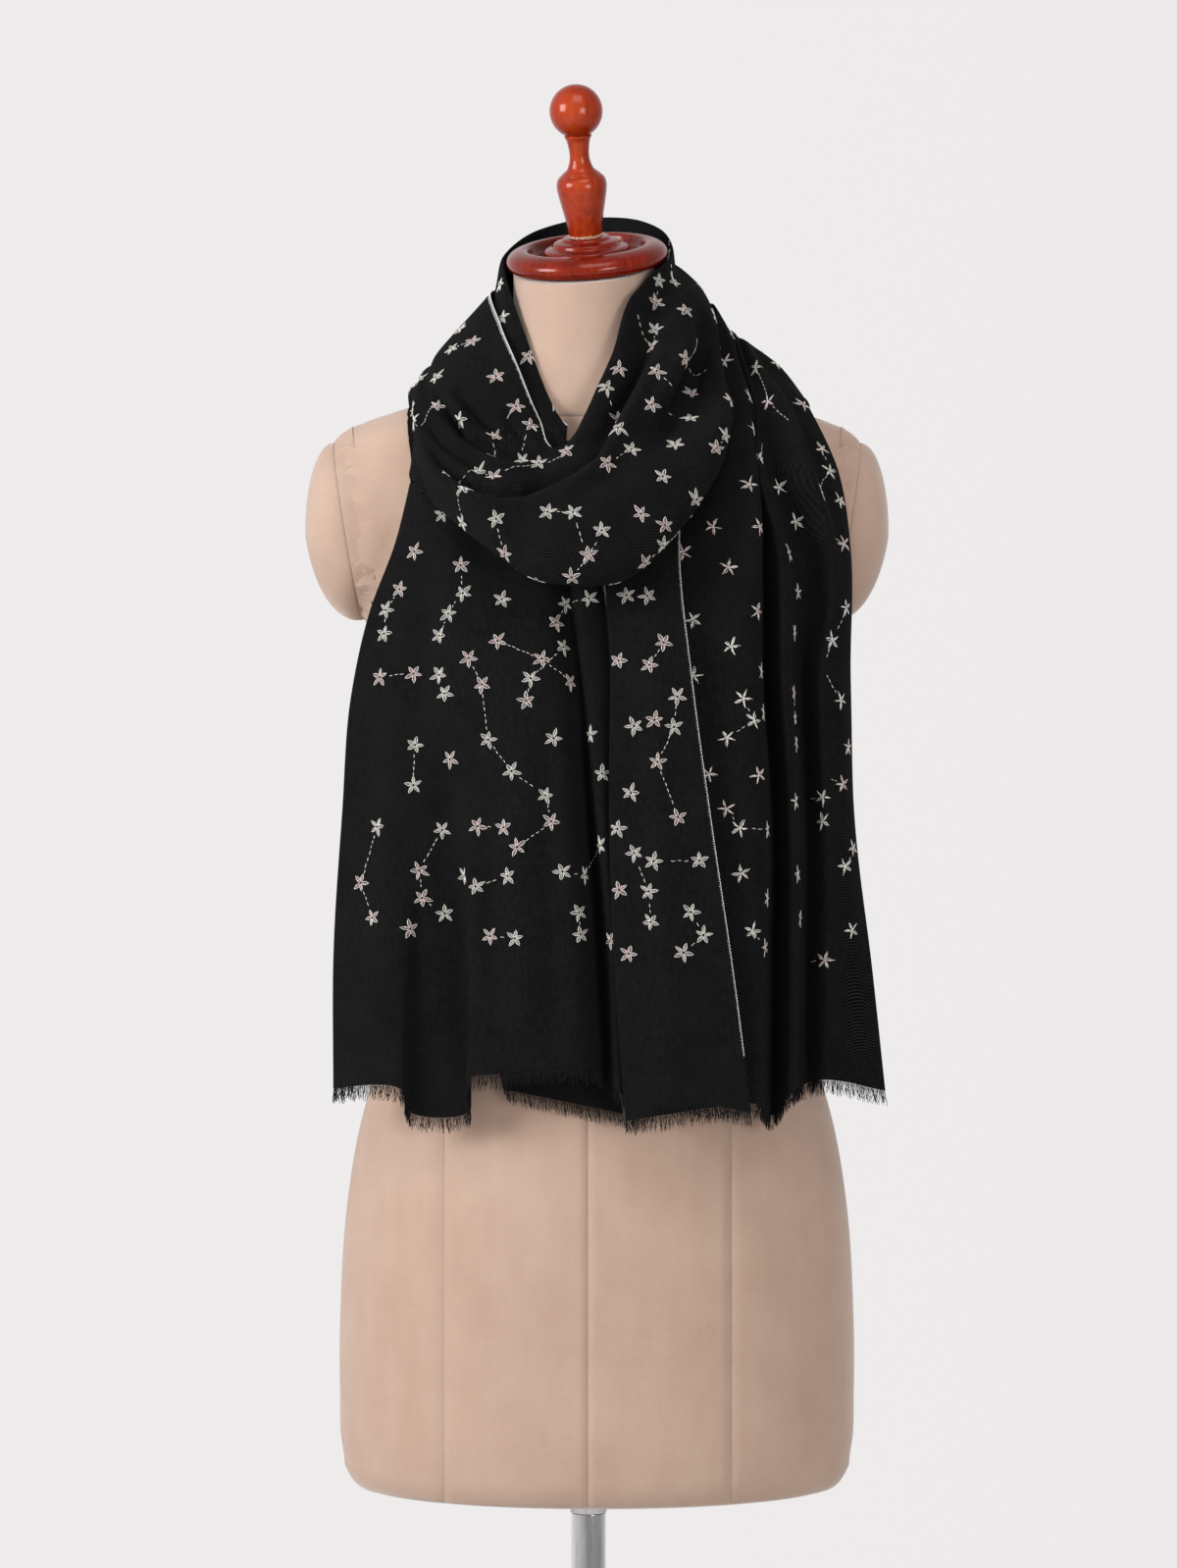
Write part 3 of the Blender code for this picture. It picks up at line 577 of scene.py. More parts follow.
@dataclass(frozen=True)
class LacquerFinish:
    """Red-brown lacquered wood."""

    name: str = "red_lacquered_wood"
    dark: Point = (0.34, 0.125, 0.06)
    middle: Point = (0.90, 0.44, 0.26)
    light: Point = (1.0, 0.80, 0.52)

    def build(self) -> bpy.types.Material:
        """Make the wood with its long grain under a gloss coat.

        Returns:
            The material.
        """
        shader = Shader(self.name)
        place = shader.scaled(shader.coordinate("Object"), (1.0, 1.0, 0.22))
        grain = shader.noise(place, scale=260.0, detail=5.0, roughness=0.6)
        cloud = shader.noise(place, scale=26.0, detail=2.0)
        tone = shader.mixed((grain, 0.55), (cloud, 0.45))
        shader.colour(shader.ramp(tone, ((0.24, self.dark), (0.5, self.middle), (0.80, self.light))))
        shader.put(Roughness=0.42, Specular_IOR_Level=0.6, Specular_Tint=(1.0, 0.42, 0.2, 1.0),
                   Coat_Weight=1.0, Coat_Roughness=0.18, Coat_IOR=1.34, Coat_Tint=(0.40, 0.09, 0.03, 1.0))
        return shader.material


@dataclass(frozen=True)
class ChromeFinish:
    """Chromed tube and plate."""

    name: str = "chrome"
    colour: Point = (0.66, 0.66, 0.67)
    roughness: float = 0.09
    wear: float = 0.82

    def build(self) -> bpy.types.Material:
        """Make the chrome with faint wiping marks.

        Returns:
            The material.
        """
        shader = Shader(self.name)
        place = shader.coordinate("Object")
        marks = shader.noise(shader.scaled(place, (1.0, 1.0, 0.08)), scale=420.0)
        worn = tuple(part * self.wear for part in self.colour)
        shader.colour(shader.ramp(marks, ((0.3, worn), (0.6, self.colour))))
        shader.bump(marks, distance=0.00004, strength=0.4)
        shader.put(Metallic=1.0, Roughness=self.roughness)
        return shader.material


@dataclass(frozen=True)
class FloorFinish:
    """Plain pale floor."""

    name: str = "pale_floor"
    colour: Point = (0.62, 0.61, 0.605)

    def build(self) -> bpy.types.Material:
        """Make the matt floor.

        Returns:
            The material.
        """
        shader = Shader(self.name)
        shader.put(Base_Color=(*self.colour, 1.0), Roughness=0.9)
        return shader.material


DEEP_LACQUER = LacquerFinish("deep_red_lacquer", (0.15, 0.045, 0.03), (0.52, 0.16, 0.105), (0.96, 0.4, 0.24))
BRUSHED_CHROME = ChromeFinish("brushed_chrome", (0.6, 0.6, 0.61), 0.24)
CREAM_THREAD = ThreadFinish("cream_thread", (0.44, 0.42, 0.37), (0.80, 0.78, 0.72))
PINK_THREAD = ThreadFinish("pink_thread", (0.44, 0.20, 0.22), (0.72, 0.42, 0.44))
WHITE_THREAD = ThreadFinish("white_thread", (0.55, 0.55, 0.53), (0.86, 0.86, 0.84))
DRIED_GLUE = ThreadFinish("dried_glue", (0.28, 0.10, 0.05), (0.66, 0.50, 0.36))


class MeshMaker:
    """Collects points and faces for one piece and makes its object."""

    # A slanting direction that no thread runs along, to start its rings from
    slant = np.array([0.31, -0.82, 0.48])
    sharp_angle = math.radians(60.0)

    def __init__(self, name: str, finishes: tuple[bpy.types.Material, ...]) -> None:
        """Start an empty piece.

        Args:
            name: Name of the piece.
            finishes: Its finishes, in the order the faces name them.
        """
        self.name = name
        self.finishes = finishes
        self.points: list[Point] = []
        self.faces: list[tuple[int, ...]] = []
        self.kinds: list[int] = []

    def add(self, points: list, faces: list, kind: int = 0) -> None:
        """Add a patch.

        Args:
            points: Points in millimetres.
            faces: Corner numbers within those points.
            kind: Place of its finish.
        """
        first = len(self.points)
        self.points += [tuple(float(value) * MM for value in point) for point in points]
        self.faces += [tuple(corner + first for corner in face) for face in faces]
        self.kinds += [kind] * len(faces)

    def thread(self, path: np.ndarray, radius: float, sides: int = 4, kind: int = 0,
               tip: float = 0.55) -> None:
        """Add a round thread along a path.

        Args:
            path: Points of its middle, in millimetres.
            radius: Its radius.
            sides: Number of sides.
            kind: Place of its finish.
            tip: Radius at both ends, as a share.
        """
        path = np.asarray(path, dtype=float)
        run = unit(np.gradient(path, axis=0))
        first = unit(np.cross(run, self.slant))
        second = np.cross(run, first)
        sizes = np.full(len(path), radius)
        sizes[0] *= tip
        sizes[-1] *= tip
        turns = 2 * math.pi * np.arange(sides) / sides
        ring = np.cos(turns)[None, :, None] * first[:, None] + np.sin(turns)[None, :, None] * second[:, None]
        points = (path[:, None] + ring * sizes[:, None, None]).reshape(-1, 3)
        last = (len(path) - 1) * sides
        ends = [tuple(reversed(range(sides))), tuple(range(last, last + sides))]
        self.add(list(points), tube_faces(len(path), sides) + ends, kind)

    def finish(self, smooth: bool = True, uv: np.ndarray | None = None) -> bpy.types.Object:
        """Make the object.

        Args:
            smooth: Whether its faces are shaded smooth.
            uv: Flat place of each point in metres, if it has one.

        Returns:
            The new object.
        """
        mesh = bpy.data.meshes.new(self.name)
        mesh.from_pydata(self.points, [], self.faces)
        for finish in self.finishes:
            mesh.materials.append(finish)
        if len(self.finishes) > 1:
            mesh.polygons.foreach_set("material_index", self.kinds)
        if uv is not None:
            corners = np.zeros(len(mesh.loops), dtype=np.int32)
            mesh.loops.foreach_get("vertex_index", corners)
            mesh.uv_layers.new(name="cloth").data.foreach_set("uv", uv[corners].astype(np.float32).ravel())
        if smooth:
            mesh.shade_smooth()
            mesh.set_sharp_from_angle(angle=self.sharp_angle)
        piece = bpy.data.objects.new(self.name, mesh)
        bpy.context.scene.collection.objects.link(piece)
        return piece


def dress(piece: bpy.types.Object, nodes: tuple[str, ...] = ()) -> bpy.types.Object:
    """Set a finished piece on the frame.

    Args:
        piece: The piece.
        nodes: Names of the solids it stands for.

    Returns:
        The same piece.
    """
    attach(piece, ROOT)
    if nodes:
        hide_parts(*nodes)
    LOG.info("%s: %d faces", piece.name, len(piece.data.polygons))
    return piece


def unmoved(point: np.ndarray) -> np.ndarray:
    """Leave a point where it stands."""
    return point


def swung(first: float, second: float, angle: float) -> Pair:
    """Turn a pair of places round their origin."""
    return (first * math.cos(angle) - second * math.sin(angle),
            first * math.sin(angle) + second * math.cos(angle))


@dataclass
class Turned:
    """A turned piece: profile of radius and height, spun round its axis."""

    name: str
    profile: tuple[Pair, ...]
    steps: int = 96
    refine: int = 1
    thinnest: float = 0.05

    def outline(self) -> np.ndarray:
        """Give the profile with its smooth runs refined.

        Returns:
            Radius and height of each point.
        """
        points = np.array(self.profile, dtype=float)
        if self.refine == 1:
            return points
        lengths = places_along(points)
        places = [lengths[-1]]
        for low, high in zip(lengths, lengths[1:]):
            places += [low + (high - low) * step / self.refine for step in range(self.refine)]
        return hermite(lengths, points, np.array(sorted(places)))

    def build(self, finish: bpy.types.Material,
              place: Callable[[np.ndarray], np.ndarray] = unmoved) -> bpy.types.Object:
        """Make the piece.

        Args:
            finish: Its finish.
            place: Function that puts a point in the frame.

        Returns:
            The new object.
        """
        maker = MeshMaker(self.name, (finish,))
        points, rings = [], []
        for radius, height in self.outline():
            corners, away = (1, 0.0) if radius < self.thinnest else (self.steps, radius)
            rings.append(range(len(points), len(points) + corners))
            for step in range(corners):
                angle = 2 * math.pi * step / self.steps
                points.append(place(np.array([away * math.cos(angle), away * math.sin(angle), height])))
        maker.add(points, [face for pair in zip(rings, rings[1:]) for face in ring_faces(*pair)])
        return maker.finish()


@dataclass
class Stand:
    """Base plate, boss, chrome pole and the collar under the form."""

    base_radius: float = 180.0
    base_height: float = 14.0
    boss_radius: float = 34.0
    boss_height: float = 34.0
    pole_radius: float = 12.4
    collar_radius: float = 13.0
    collar_height: float = 17.0
    form_bottom: float = 628.0
    gap: float = 0.35

    def disc(self, radius: float, low: float, high: float, bevel: float) -> tuple[Pair, ...]:
        """Give the profile of a disc with a rounded upper edge.

        Args:
            radius: Its radius.
            low: Height of its underside.
            high: Height of its top.
            bevel: Radius of the rounded edge.

        Returns:
            The profile.
        """
        under = min(bevel * 0.3, 0.8)
        rounded = [
            (radius - bevel + bevel * math.sin(turn), high - bevel + bevel * math.cos(turn))
            for turn in np.linspace(math.pi / 2, 0.0, 8)
        ]
        return ((0.0, low), (radius - under, low), (radius, low + under), *rounded, (0.0, high))

    def build(self, chrome: bpy.types.Material, plate: bpy.types.Material) -> None:
        """Make the four pieces of the stand.

        Args:
            chrome: Finish of the pole and its collar.
            plate: Finish of the base.
        """
        boss_low = self.base_height + self.gap
        boss_top = boss_low + self.boss_height
        collar_top = self.form_bottom - self.gap
        collar_low = collar_top - self.collar_height
        pole_ends = (boss_top + self.gap, collar_low - self.gap)
        parts = (
            ("base_plate", self.disc(self.base_radius, 0.0, self.base_height, 4.0), plate, 160),
            ("base_boss", self.disc(self.boss_radius, boss_low, boss_top, 6.0), plate, 96),
            ("pole", self.disc(self.pole_radius, *pole_ends, 0.5), chrome, 96),
            ("pole_collar", self.disc(self.collar_radius, collar_low, collar_top, 0.9), chrome, 96),
        )
        for name, profile, finish, steps in parts:
            dress(Turned(name + "_turned", profile, steps).build(finish), (name,))


@dataclass
class DressForm:
    """Velvet torso with seams and two arm caps."""

    body_shift: float = 6.0
    neck_shift: float = -3.0
    top_shift: float = -0.5
    shift_heights: Pair = (1390.0, 1430.0)
    bottom: float = 628.0
    neck_top: float = 1497.0
    edge_heights: tuple[float, ...] = (629.0, 630.0, 632.0, 635.0, 640.0, 646.0)
    body_heights: tuple[float, float, int] = (652.0, 1366.0, 112)
    shoulder_heights: tuple[float, float, int] = (1369.5, 1383.0, 6)
    neck_heights: tuple[float, float, int] = (1389.0, 1497.0, 34)
    neck_seam: float = 1385.0
    neck_seam_half: float = 0.8
    roundness: float = 2.12
    tilt_from: float = 1420.0
    neck_tilt: float = math.radians(18.0)
    neck_roll: float = math.radians(4.5)
    arm_middle: float = 1309.0
    arm_half_height: float = 63.0
    arm_half_depth: float = 49.0
    arm_seam_middle: float = 177.0
    arm_seam_lean: float = 20 / 124
    arm_dome: float = 30.5
    arm_blend: float = 22.0
    arm_thinnest: float = 4.0
    arm_overrun: float = 1.02
    arm_steps: int = 96
    arm_rings: int = 26
    dome_start: float = 0.25
    dome_power: float = 2.15
    arm_slump: float = 0.26
    arm_edge: tuple[Pair, ...] = ((-15.0, -0.8), (-12.0, -0.3), (-9.5, 0.0), (-7.5, 0.2))
    arm_sewing: tuple[Point, ...] = ((-1.0, 1.0, -0.1), (-0.3, 1.0, 0.05), (0.15, 1.0, 0.45))
    seam_half: float = 0.9
    seam_radius: float = 130.0
    seam_depth: float = 0.85
    seam_start: float = 2.0
    gap: float = 0.35
    front_seams: tuple[float, ...] = (-100.5, -0.7, 98.5)
    back_seams: tuple[float, ...] = (98.0, 4.0, -90.0)
    seam_spread: tuple[Pair, ...] = ((900, 1), (1020, 0.8), (1180, 0.86), (1360, 0.98), (1400, 0.5),
                                     (1440, 0.36))
    between: int = 15
    tree: BVHTree | None = field(default=None, repr=False)

    def shift(self, height: np.ndarray) -> np.ndarray:
        """Give the sideways place of the form's middle at a height."""
        return np.interp(height, self.shift_heights, (self.body_shift, self.neck_shift))

    def reach(self, height: np.ndarray, angle: np.ndarray) -> np.ndarray:
        """Give the form's radius.

        Args:
            height: Heights.
            angle: Angles from the front towards +X.

        Returns:
            The radius at each pair of height and angle.
        """
        shape = np.broadcast(height, angle).shape
        height = np.broadcast_to(height, shape)
        levels = np.array(FORM_LEVELS)
        sizes = hermite(levels[:, 0], levels[:, 1:], np.clip(height.ravel(), self.bottom, self.neck_top))
        width, front, back = (sizes[:, column].reshape(shape) for column in range(3))
        sine = np.abs(np.sin(angle)) + 1e-6
        cosine = np.abs(np.cos(angle)) + 1e-6
        depth = np.where(np.cos(angle) > 0.0, front, back)
        power = self.roundness
        body = ((sine / width) ** power + (cosine / depth) ** power) ** (-1 / power)
        lift = (height - self.arm_middle) / self.arm_half_height
        arm_depth = self.arm_half_depth * np.sqrt(np.clip(1 - lift ** 2, 0.0, 1.0))
        seam = (self.arm_seam_middle + (height - self.arm_middle) * self.arm_seam_lean) / sine
        arm = np.minimum(arm_depth / cosine, seam)
        mix = np.clip(0.5 + 0.5 * (body - arm) / self.arm_blend, 0.0, 1.0)
        blended = arm + (body - arm) * mix + self.arm_blend * mix * (1 - mix)
        joined = np.where(arm_depth > self.arm_thinnest, blended, body)
        return np.minimum(joined, np.where(np.abs(lift) < self.arm_overrun, seam, joined))

    def seam_angles(self, height: float) -> np.ndarray:
        """Give the angles of the eight seams at a height.

        Args:
            height: The height.

        Returns:
            Rising angles, starting with the one left of the front seam.
        """
        fine = np.linspace(-0.5 * math.pi, 0.5 * math.pi, 181)
        levels = np.full(fine.shape, height)
        spread = np.interp(height, *np.array(self.seam_spread).T)
        front = np.sin(fine) * self.reach(levels, fine)
        back = np.sin(fine) * self.reach(levels, math.pi - fine)
        ahead = [np.interp((x - self.body_shift) * spread, front, fine) for x in self.front_seams]
        behind = [math.pi - np.interp((x - self.body_shift) * spread, back, fine) for x in self.back_seams]
        return np.array([*ahead, 0.5 * math.pi, *behind, 1.5 * math.pi])

    def columns(self, height: float) -> tuple[np.ndarray, np.ndarray]:
        """Give the angles of the mesh columns at a height, and how far each lies in a seam.

        Args:
            height: The height.

        Returns:
            Angles and seam shares from 0 to 1.
        """
        seams = self.seam_angles(height)
        angles, grooves = [], []
        half = self.seam_half / self.seam_radius
        for seam, after in zip(seams, [*seams[1:], seams[0] + 2 * math.pi]):
            angles += [seam - half, seam, seam + half]
            grooves += [0.0, 1.0, 0.0]
            inner = np.linspace(seam + half, after - half, self.between + 2)[1:-1]
            angles += list(inner)
            grooves += [0.0] * len(inner)
        return np.array(angles), np.array(grooves)

    def build(self, velvet: bpy.types.Material) -> None:
        """Make the torso and arm caps, and keep the torso's faces for the cloth to rest on.

        Args:
            velvet: Finish of the form.
        """
        seam, half = self.neck_seam, self.neck_seam_half
        heights = [self.bottom, *self.edge_heights, *np.linspace(*self.body_heights),
                   *np.linspace(*self.shoulder_heights), seam - half, seam, seam + half,
                   *np.linspace(*self.neck_heights)]
        grid = np.array([self.level(height) for height in heights])
        rows, count = grid.shape[:2]
        last = (rows - 1) * count
        faces = [tuple(reversed(range(count))), *tube_faces(rows, count), tuple(range(last, last + count))]
        points = grid.reshape(-1, 3)
        self.tree = BVHTree.FromPolygons([Vector(point) for point in points], faces)
        maker = MeshMaker("form_torso_velvet", (velvet,))
        maker.add(list(points), faces)
        dress(maker.finish(), ("form_torso",))
        for name, side in (("arm_cap_left", -1), ("arm_cap_right", 1)):
            self.arm_cap(name, side, velvet)

    def level(self, height: float) -> np.ndarray:
        """Give the torso's points at a height, sunk where they lie in a seam.

        Args:
            height: The height, before the neck's slope.

        Returns:
            One point for each mesh column.
        """
        angles, grooves = self.columns(height)
        reach = self.reach(np.full(angles.shape, height), angles)
        ring = 1.0 if height == self.neck_seam else 0.0
        sewn = 1.0 if self.bottom + self.seam_start < height <= self.neck_seam else 0.0
        sunk = self.seam_depth * np.maximum(grooves, ring) * sewn
        x = np.sin(angles) * (reach - sunk)
        y = -np.cos(angles) * (reach - sunk)
        slope = float(np.clip((height - self.tilt_from) / (self.neck_top - self.tilt_from), 0.0, 1.0))
        z = height + slope * (y * math.tan(self.neck_tilt) + x * math.tan(self.neck_roll))
        return np.stack([x + self.shift(height), y, z], axis=1)

    def arm_cap(self, name: str, side: int, velvet: bpy.types.Material) -> None:
        """Make one oval cap on its slanting seam.

        Args:
            name: Name of the solid it stands for.
            side: 1 at the viewer's right, -1 at the left.
            velvet: Its finish.
        """
        steps = self.arm_steps
        angles = [2 * math.pi * step / steps for step in range(steps)]
        lean = math.atan(self.arm_seam_lean)
        middle = np.array([self.body_shift + side * self.arm_seam_middle, 0.0, self.arm_middle])
        out = np.array([side * math.cos(lean), 0.0, -math.sin(lean)])
        up = np.array([side * math.sin(lean), 0.0, math.cos(lean)])
        back = np.array([0.0, 1.0, 0.0])
        # Place outward, size and tuck of each ring: the sewn edge, its groove, then the dome
        levels = list(self.arm_sewing)
        for ring in range(self.arm_rings):
            part = math.sin(math.pi / 2 * ring / self.arm_rings)
            size = (1 - part ** self.dome_power) ** (1 / self.dome_power)
            levels.append((self.gap + self.dome_start + (self.arm_dome - self.dome_start) * part, size, 0.0))
        points = []
        for place, lift in self.arm_edge:
            for angle in angles:
                away = (up * math.sin(angle) * self.arm_half_height / math.cos(lean)
                        + back * math.cos(angle) * self.arm_half_depth)
                start = middle + out * place + away
                hit = self.tree.ray_cast(Vector(start + away * 0.3), Vector(-away).normalized())[0]
                points.append(np.array(hit if hit else start) + unit(away) * lift)
        for place, size, tuck in levels:
            for angle in angles:
                tall = up * math.sin(angle) * (self.arm_half_height * size / math.cos(lean) - tuck)
                deep = back * math.cos(angle) * (self.arm_half_depth * size - tuck)
                slump = 1 - self.arm_slump * size * max(math.sin(angle), 0.0)
                points.append(middle + out * (place * slump if place > 0.0 else place) + tall + deep)
        tip = len(points)
        points.append(middle + out * (self.gap + self.arm_dome))
        faces = [tuple(range(steps)), *tube_faces(tip // steps, steps, inward=True),
                 *ring_faces(range(tip - steps, tip), [tip], inward=True)]
        if side > 0:
            faces = [tuple(reversed(face)) for face in faces]
        maker = MeshMaker(name + "_velvet", (velvet,))
        maker.add(points, faces)
        dress(maker.finish(), (name,))

    def on_neck(self, point: np.ndarray) -> np.ndarray:
        """Put a point of the cap or finial on the sloping top of the neck.

        Args:
            point: The point, with the middle of the neck's top as its origin.

        Returns:
            The point in the frame.
        """
        x, y, z = point
        y, z = swung(y, z, self.neck_tilt)
        x, z = swung(x, z, self.neck_roll)
        return np.array([self.top_shift + x, y, self.neck_top + self.gap * 2 + z])


@dataclass
class WoodenTop:
    """Turned disc on the neck and the finial with its ball."""

    cap: tuple[Pair, ...] = (
        (0, 0), (50, 0), (53.5, 0.6), (56, 2.6), (57.3, 5.2), (57.5, 7.4), (56.8, 9.8),
        (54.8, 12.3), (51.8, 14.2), (48.4, 15.3), (45.2, 15.6), (43.2, 15.2), (42.1, 14.3), (41.5, 13),
        (40.8, 11.2), (39.8, 9.4), (38.2, 8.5), (35.5, 8.3), (32.6, 8.6), (31.2, 9.6), (30.6, 11.2),
        (30.2, 12.7), (29.4, 13.8), (27.8, 14.4), (25.6, 14.8), (24.2, 15.5), (23.6, 16.6), (23.2, 17.8),
        (22.2, 18.6), (20.4, 19.1), (18.4, 19.5), (17.2, 20.3), (16.5, 21.2), (15.2, 21.6), (0, 21.6),
    )
    finial: tuple[Pair, ...] = (
        (0, 0), (11.3, 0), (11.5, 1.2), (11.8, 2.8), (12.3, 6), (12.9, 9.4), (14.2, 16.2),
        (15.7, 23), (17, 29.4), (17.7, 33.6), (17.9, 36.6), (17.5, 39.4), (16.6, 41.5), (15.3, 43),
        (14.2, 43.8), (13.7, 44.1), (13.75, 44.5), (13.3, 44.9), (12.5, 45.2), (12.1, 45.5), (12.1, 45.9),
        (11.5, 46.3), (10.4, 47), (9.4, 48.2), (8.4, 50.4), (7.4, 53.6), (6.95, 56.5), (7, 60),
        (7.35, 63.4), (7.9, 66.6), (8.6, 69.2), (9.2, 70.2), (9.7, 71), (9.65, 71.8), (9, 72.3),
        (9.3, 72.8),
    )
    ball_radius: float = 18.8
    ball_middle: float = 88.9
    ball_seat: float = 10.2
    ball_steps: int = 26
    rise: float = 21.95
    glue_seed: int = 13
    glue_lifts: Pair = (0.2, 0.9)
    glue_steps: int = 90
    glue_away: float = 0.5
    glue_radius: float = 0.42

    def build(self, form: DressForm, deep: bpy.types.Material, warm: bpy.types.Material,
              glue: bpy.types.Material) -> None:
        """Make both turned pieces and the line of glue between them.

        Args:
            form: The form whose neck they sit on.
            deep: Finish of the disc.
            warm: Finish of the finial.
            glue: Finish of the dried glue round its foot.
        """
        disc = Turned("neck_cap_turned", self.cap, steps=144, refine=3)
        dress(disc.build(deep, form.on_neck), ("neck_cap",))
        finial = Turned("finial_turned", self.finial_profile())
        dress(finial.build(warm, form.on_neck), ("finial",))
        self.glue_line(form, glue)

    def finial_profile(self) -> tuple[Pair, ...]:
        """Give the profile of the finial with its ball, set on the disc.

        Returns:
            Radius and height of each point.
        """
        profile = [(radius, height + self.rise) for radius, height in self.finial]
        start = math.asin(self.ball_seat / self.ball_radius)
        for turn in np.linspace(start, math.pi, self.ball_steps):
            profile.append((self.ball_radius * math.sin(turn),
                            self.rise + self.ball_middle - self.ball_radius * math.cos(turn)))
        profile[-1] = (0.0, self.rise + self.ball_middle + self.ball_radius)
        return tuple(profile)

    def glue_line(self, form: DressForm, glue: bpy.types.Material) -> None:
        """Make the uneven line of glue round the finial's foot.

        Args:
            form: The form whose neck it sits on.
            glue: Its finish.
        """
        rng = random.Random(self.glue_seed)
        maker = MeshMaker("glue_ring", (glue,))
        foot = self.finial[1][0] + self.glue_away
        for lift in self.glue_lifts:
            path = []
            for turn in np.linspace(0.0, 2 * math.pi, self.glue_steps):
                radius = foot + rng.uniform(-0.35, 0.35)
                height = self.rise + lift + rng.uniform(-0.3, 0.4)
                spot = (radius * math.cos(turn), radius * math.sin(turn), height)
                path.append(form.on_neck(np.array(spot)))
            maker.thread(np.array(path), self.glue_radius, sides=5, tip=1.0)
        dress(maker.finish())


@dataclass(frozen=True)
class Fold:
    """A fold: its line in the front view, height over the plain cloth and half breadth."""

    line: tuple[Pair, ...]
    height: float
    breadth: float
    fading: float = 0.28

    def push(self, x: np.ndarray, z: np.ndarray) -> np.ndarray:
        """Give how far the fold lifts the cloth.

        Args:
            x: Sideways places in the front view.
            z: Heights.

        Returns:
            The lift at each place.
        """
        points = np.array(self.line, dtype=float)
        runs = np.diff(points, axis=0)
        lengths = np.linalg.norm(runs, axis=1)
        total = lengths.sum()
        nearest = np.full(x.shape, 1e9)
        along = np.zeros(x.shape)
        start = 0.0
        for point, run, length in zip(points, runs, lengths):
            share = np.clip(((x - point[0]) * run[0] + (z - point[1]) * run[1]) / length ** 2, 0.0, 1.0)
            away = np.hypot(x - point[0] - share * run[0], z - point[1] - share * run[1])
            closer = away < nearest
            nearest = np.where(closer, away, nearest)
            along = np.where(closer, start + share * length, along)
            start += length
        fade = smooth_step(np.minimum(along, total - along) / (self.fading * total))
        return self.height * np.exp(-(nearest / self.breadth) ** 2) * fade


@dataclass
class Sheet:
    """A stretch of cloth: a grid of middle points, with rows along the cloth and columns across it."""

    name: str
    grid: np.ndarray
    nodes: tuple[str, ...]
    outward: float
    facing: Facing = Facing.FACE
    wall: float = 0.9
    tree: BVHTree = field(init=False, repr=False)

    def __post_init__(self) -> None:
        """Work out the faces that other pieces lie on."""
        self.tree = BVHTree.FromPolygons([Vector(point) for point in self.grid.reshape(-1, 3)], self.quads())

    def quads(self) -> list[tuple[int, int, int, int]]:
        """Give the faces of the grid, looking outward.

        Returns:
            Four corner numbers for each face.
        """
        rows, columns = self.grid.shape[:2]
        corners = np.arange(rows * columns).reshape(rows, columns)
        sides = [corners[:-1, :-1], corners[1:, :-1], corners[1:, 1:], corners[:-1, 1:]]
        if self.outward < 0.0:
            sides.reverse()
        return [tuple(face) for face in np.stack(sides, axis=2).reshape(-1, 4).tolist()]

    def normals(self) -> np.ndarray:
        """Give the outward normals."""
        return surface_normals(self.grid) * self.outward

    def flat_places(self) -> tuple[np.ndarray, np.ndarray]:
        """Measure the flat cloth in millimetres.

        Returns:
            How far across and how far along each point lies.
        """
        across = np.linalg.norm(np.diff(self.grid, axis=1), axis=2)
        along = np.linalg.norm(np.diff(self.grid, axis=0), axis=2)
        across = np.cumsum(np.pad(across, ((0, 0), (1, 0))), axis=1)
        along = np.cumsum(np.pad(along, ((1, 0), (0, 0))), axis=0)
        return across, along

    def flat_size(self) -> Pair:
        """Give the mean width and length of the flat cloth in metres."""
        across, along = self.flat_places()
        return float(across[:, -1].mean() * MM), float(along[-1].mean() * MM)

    def area(self) -> float:
        """Measure the cloth.

        Returns:
            Its area in square metres.
        """
        first = self.grid[1:, 1:] - self.grid[:-1, :-1]
        second = self.grid[1:, :-1] - self.grid[:-1, 1:]
        return float(np.linalg.norm(np.cross(first, second), axis=2).sum() * 0.5 * MM * MM)

    def read(self, rows: np.ndarray, columns: np.ndarray, values: np.ndarray) -> np.ndarray:
        """Read values of the grid between its points.

        Args:
            rows: Places along.
            columns: Places across.
            values: The grid of values.

        Returns:
            The values read.
        """
        rows = np.clip(rows, 0.0, self.grid.shape[0] - 1.001)
        columns = np.clip(columns, 0.0, self.grid.shape[1] - 1.001)
        row, column = rows.astype(int), columns.astype(int)
        down, over = (rows - row)[:, None], (columns - column)[:, None]
        upper = values[row, column] * (1 - over) + values[row, column + 1] * over
        lower = values[row + 1, column] * (1 - over) + values[row + 1, column + 1] * over
        return upper * (1 - down) + lower * down

    def build(self, twill: bpy.types.Material) -> bpy.types.Object:
        """Make the closed thin wall of cloth.

        Args:
            twill: Its finish.

        Returns:
            The new object.
        """
        rows, columns = self.grid.shape[:2]
        lift = self.normals() * self.wall * 0.5
        count = rows * columns
        outer = self.quads()
        faces = outer + [tuple(corner + count for corner in reversed(face)) for face in outer]
        corners = np.arange(count).reshape(rows, columns)
        rim = [*corners[0], *corners[1:, -1], *corners[-1, -2::-1], *corners[-2:0:-1, 0]]
        for first, second in zip(rim, rim[1:] + rim[:1]):
            side = (first, second, second + count, first + count)
            faces.append(side if self.outward > 0.0 else tuple(reversed(side)))
        maker = MeshMaker(self.name, (twill,))
        maker.add(list((self.grid + lift).reshape(-1, 3)) + list((self.grid - lift).reshape(-1, 3)), faces)
        across, along = self.flat_places()
        flat = np.stack([across, along], axis=2).reshape(-1, 2) * MM
        piece = maker.finish(uv=np.concatenate([flat, flat]))
        return dress(piece, self.nodes)


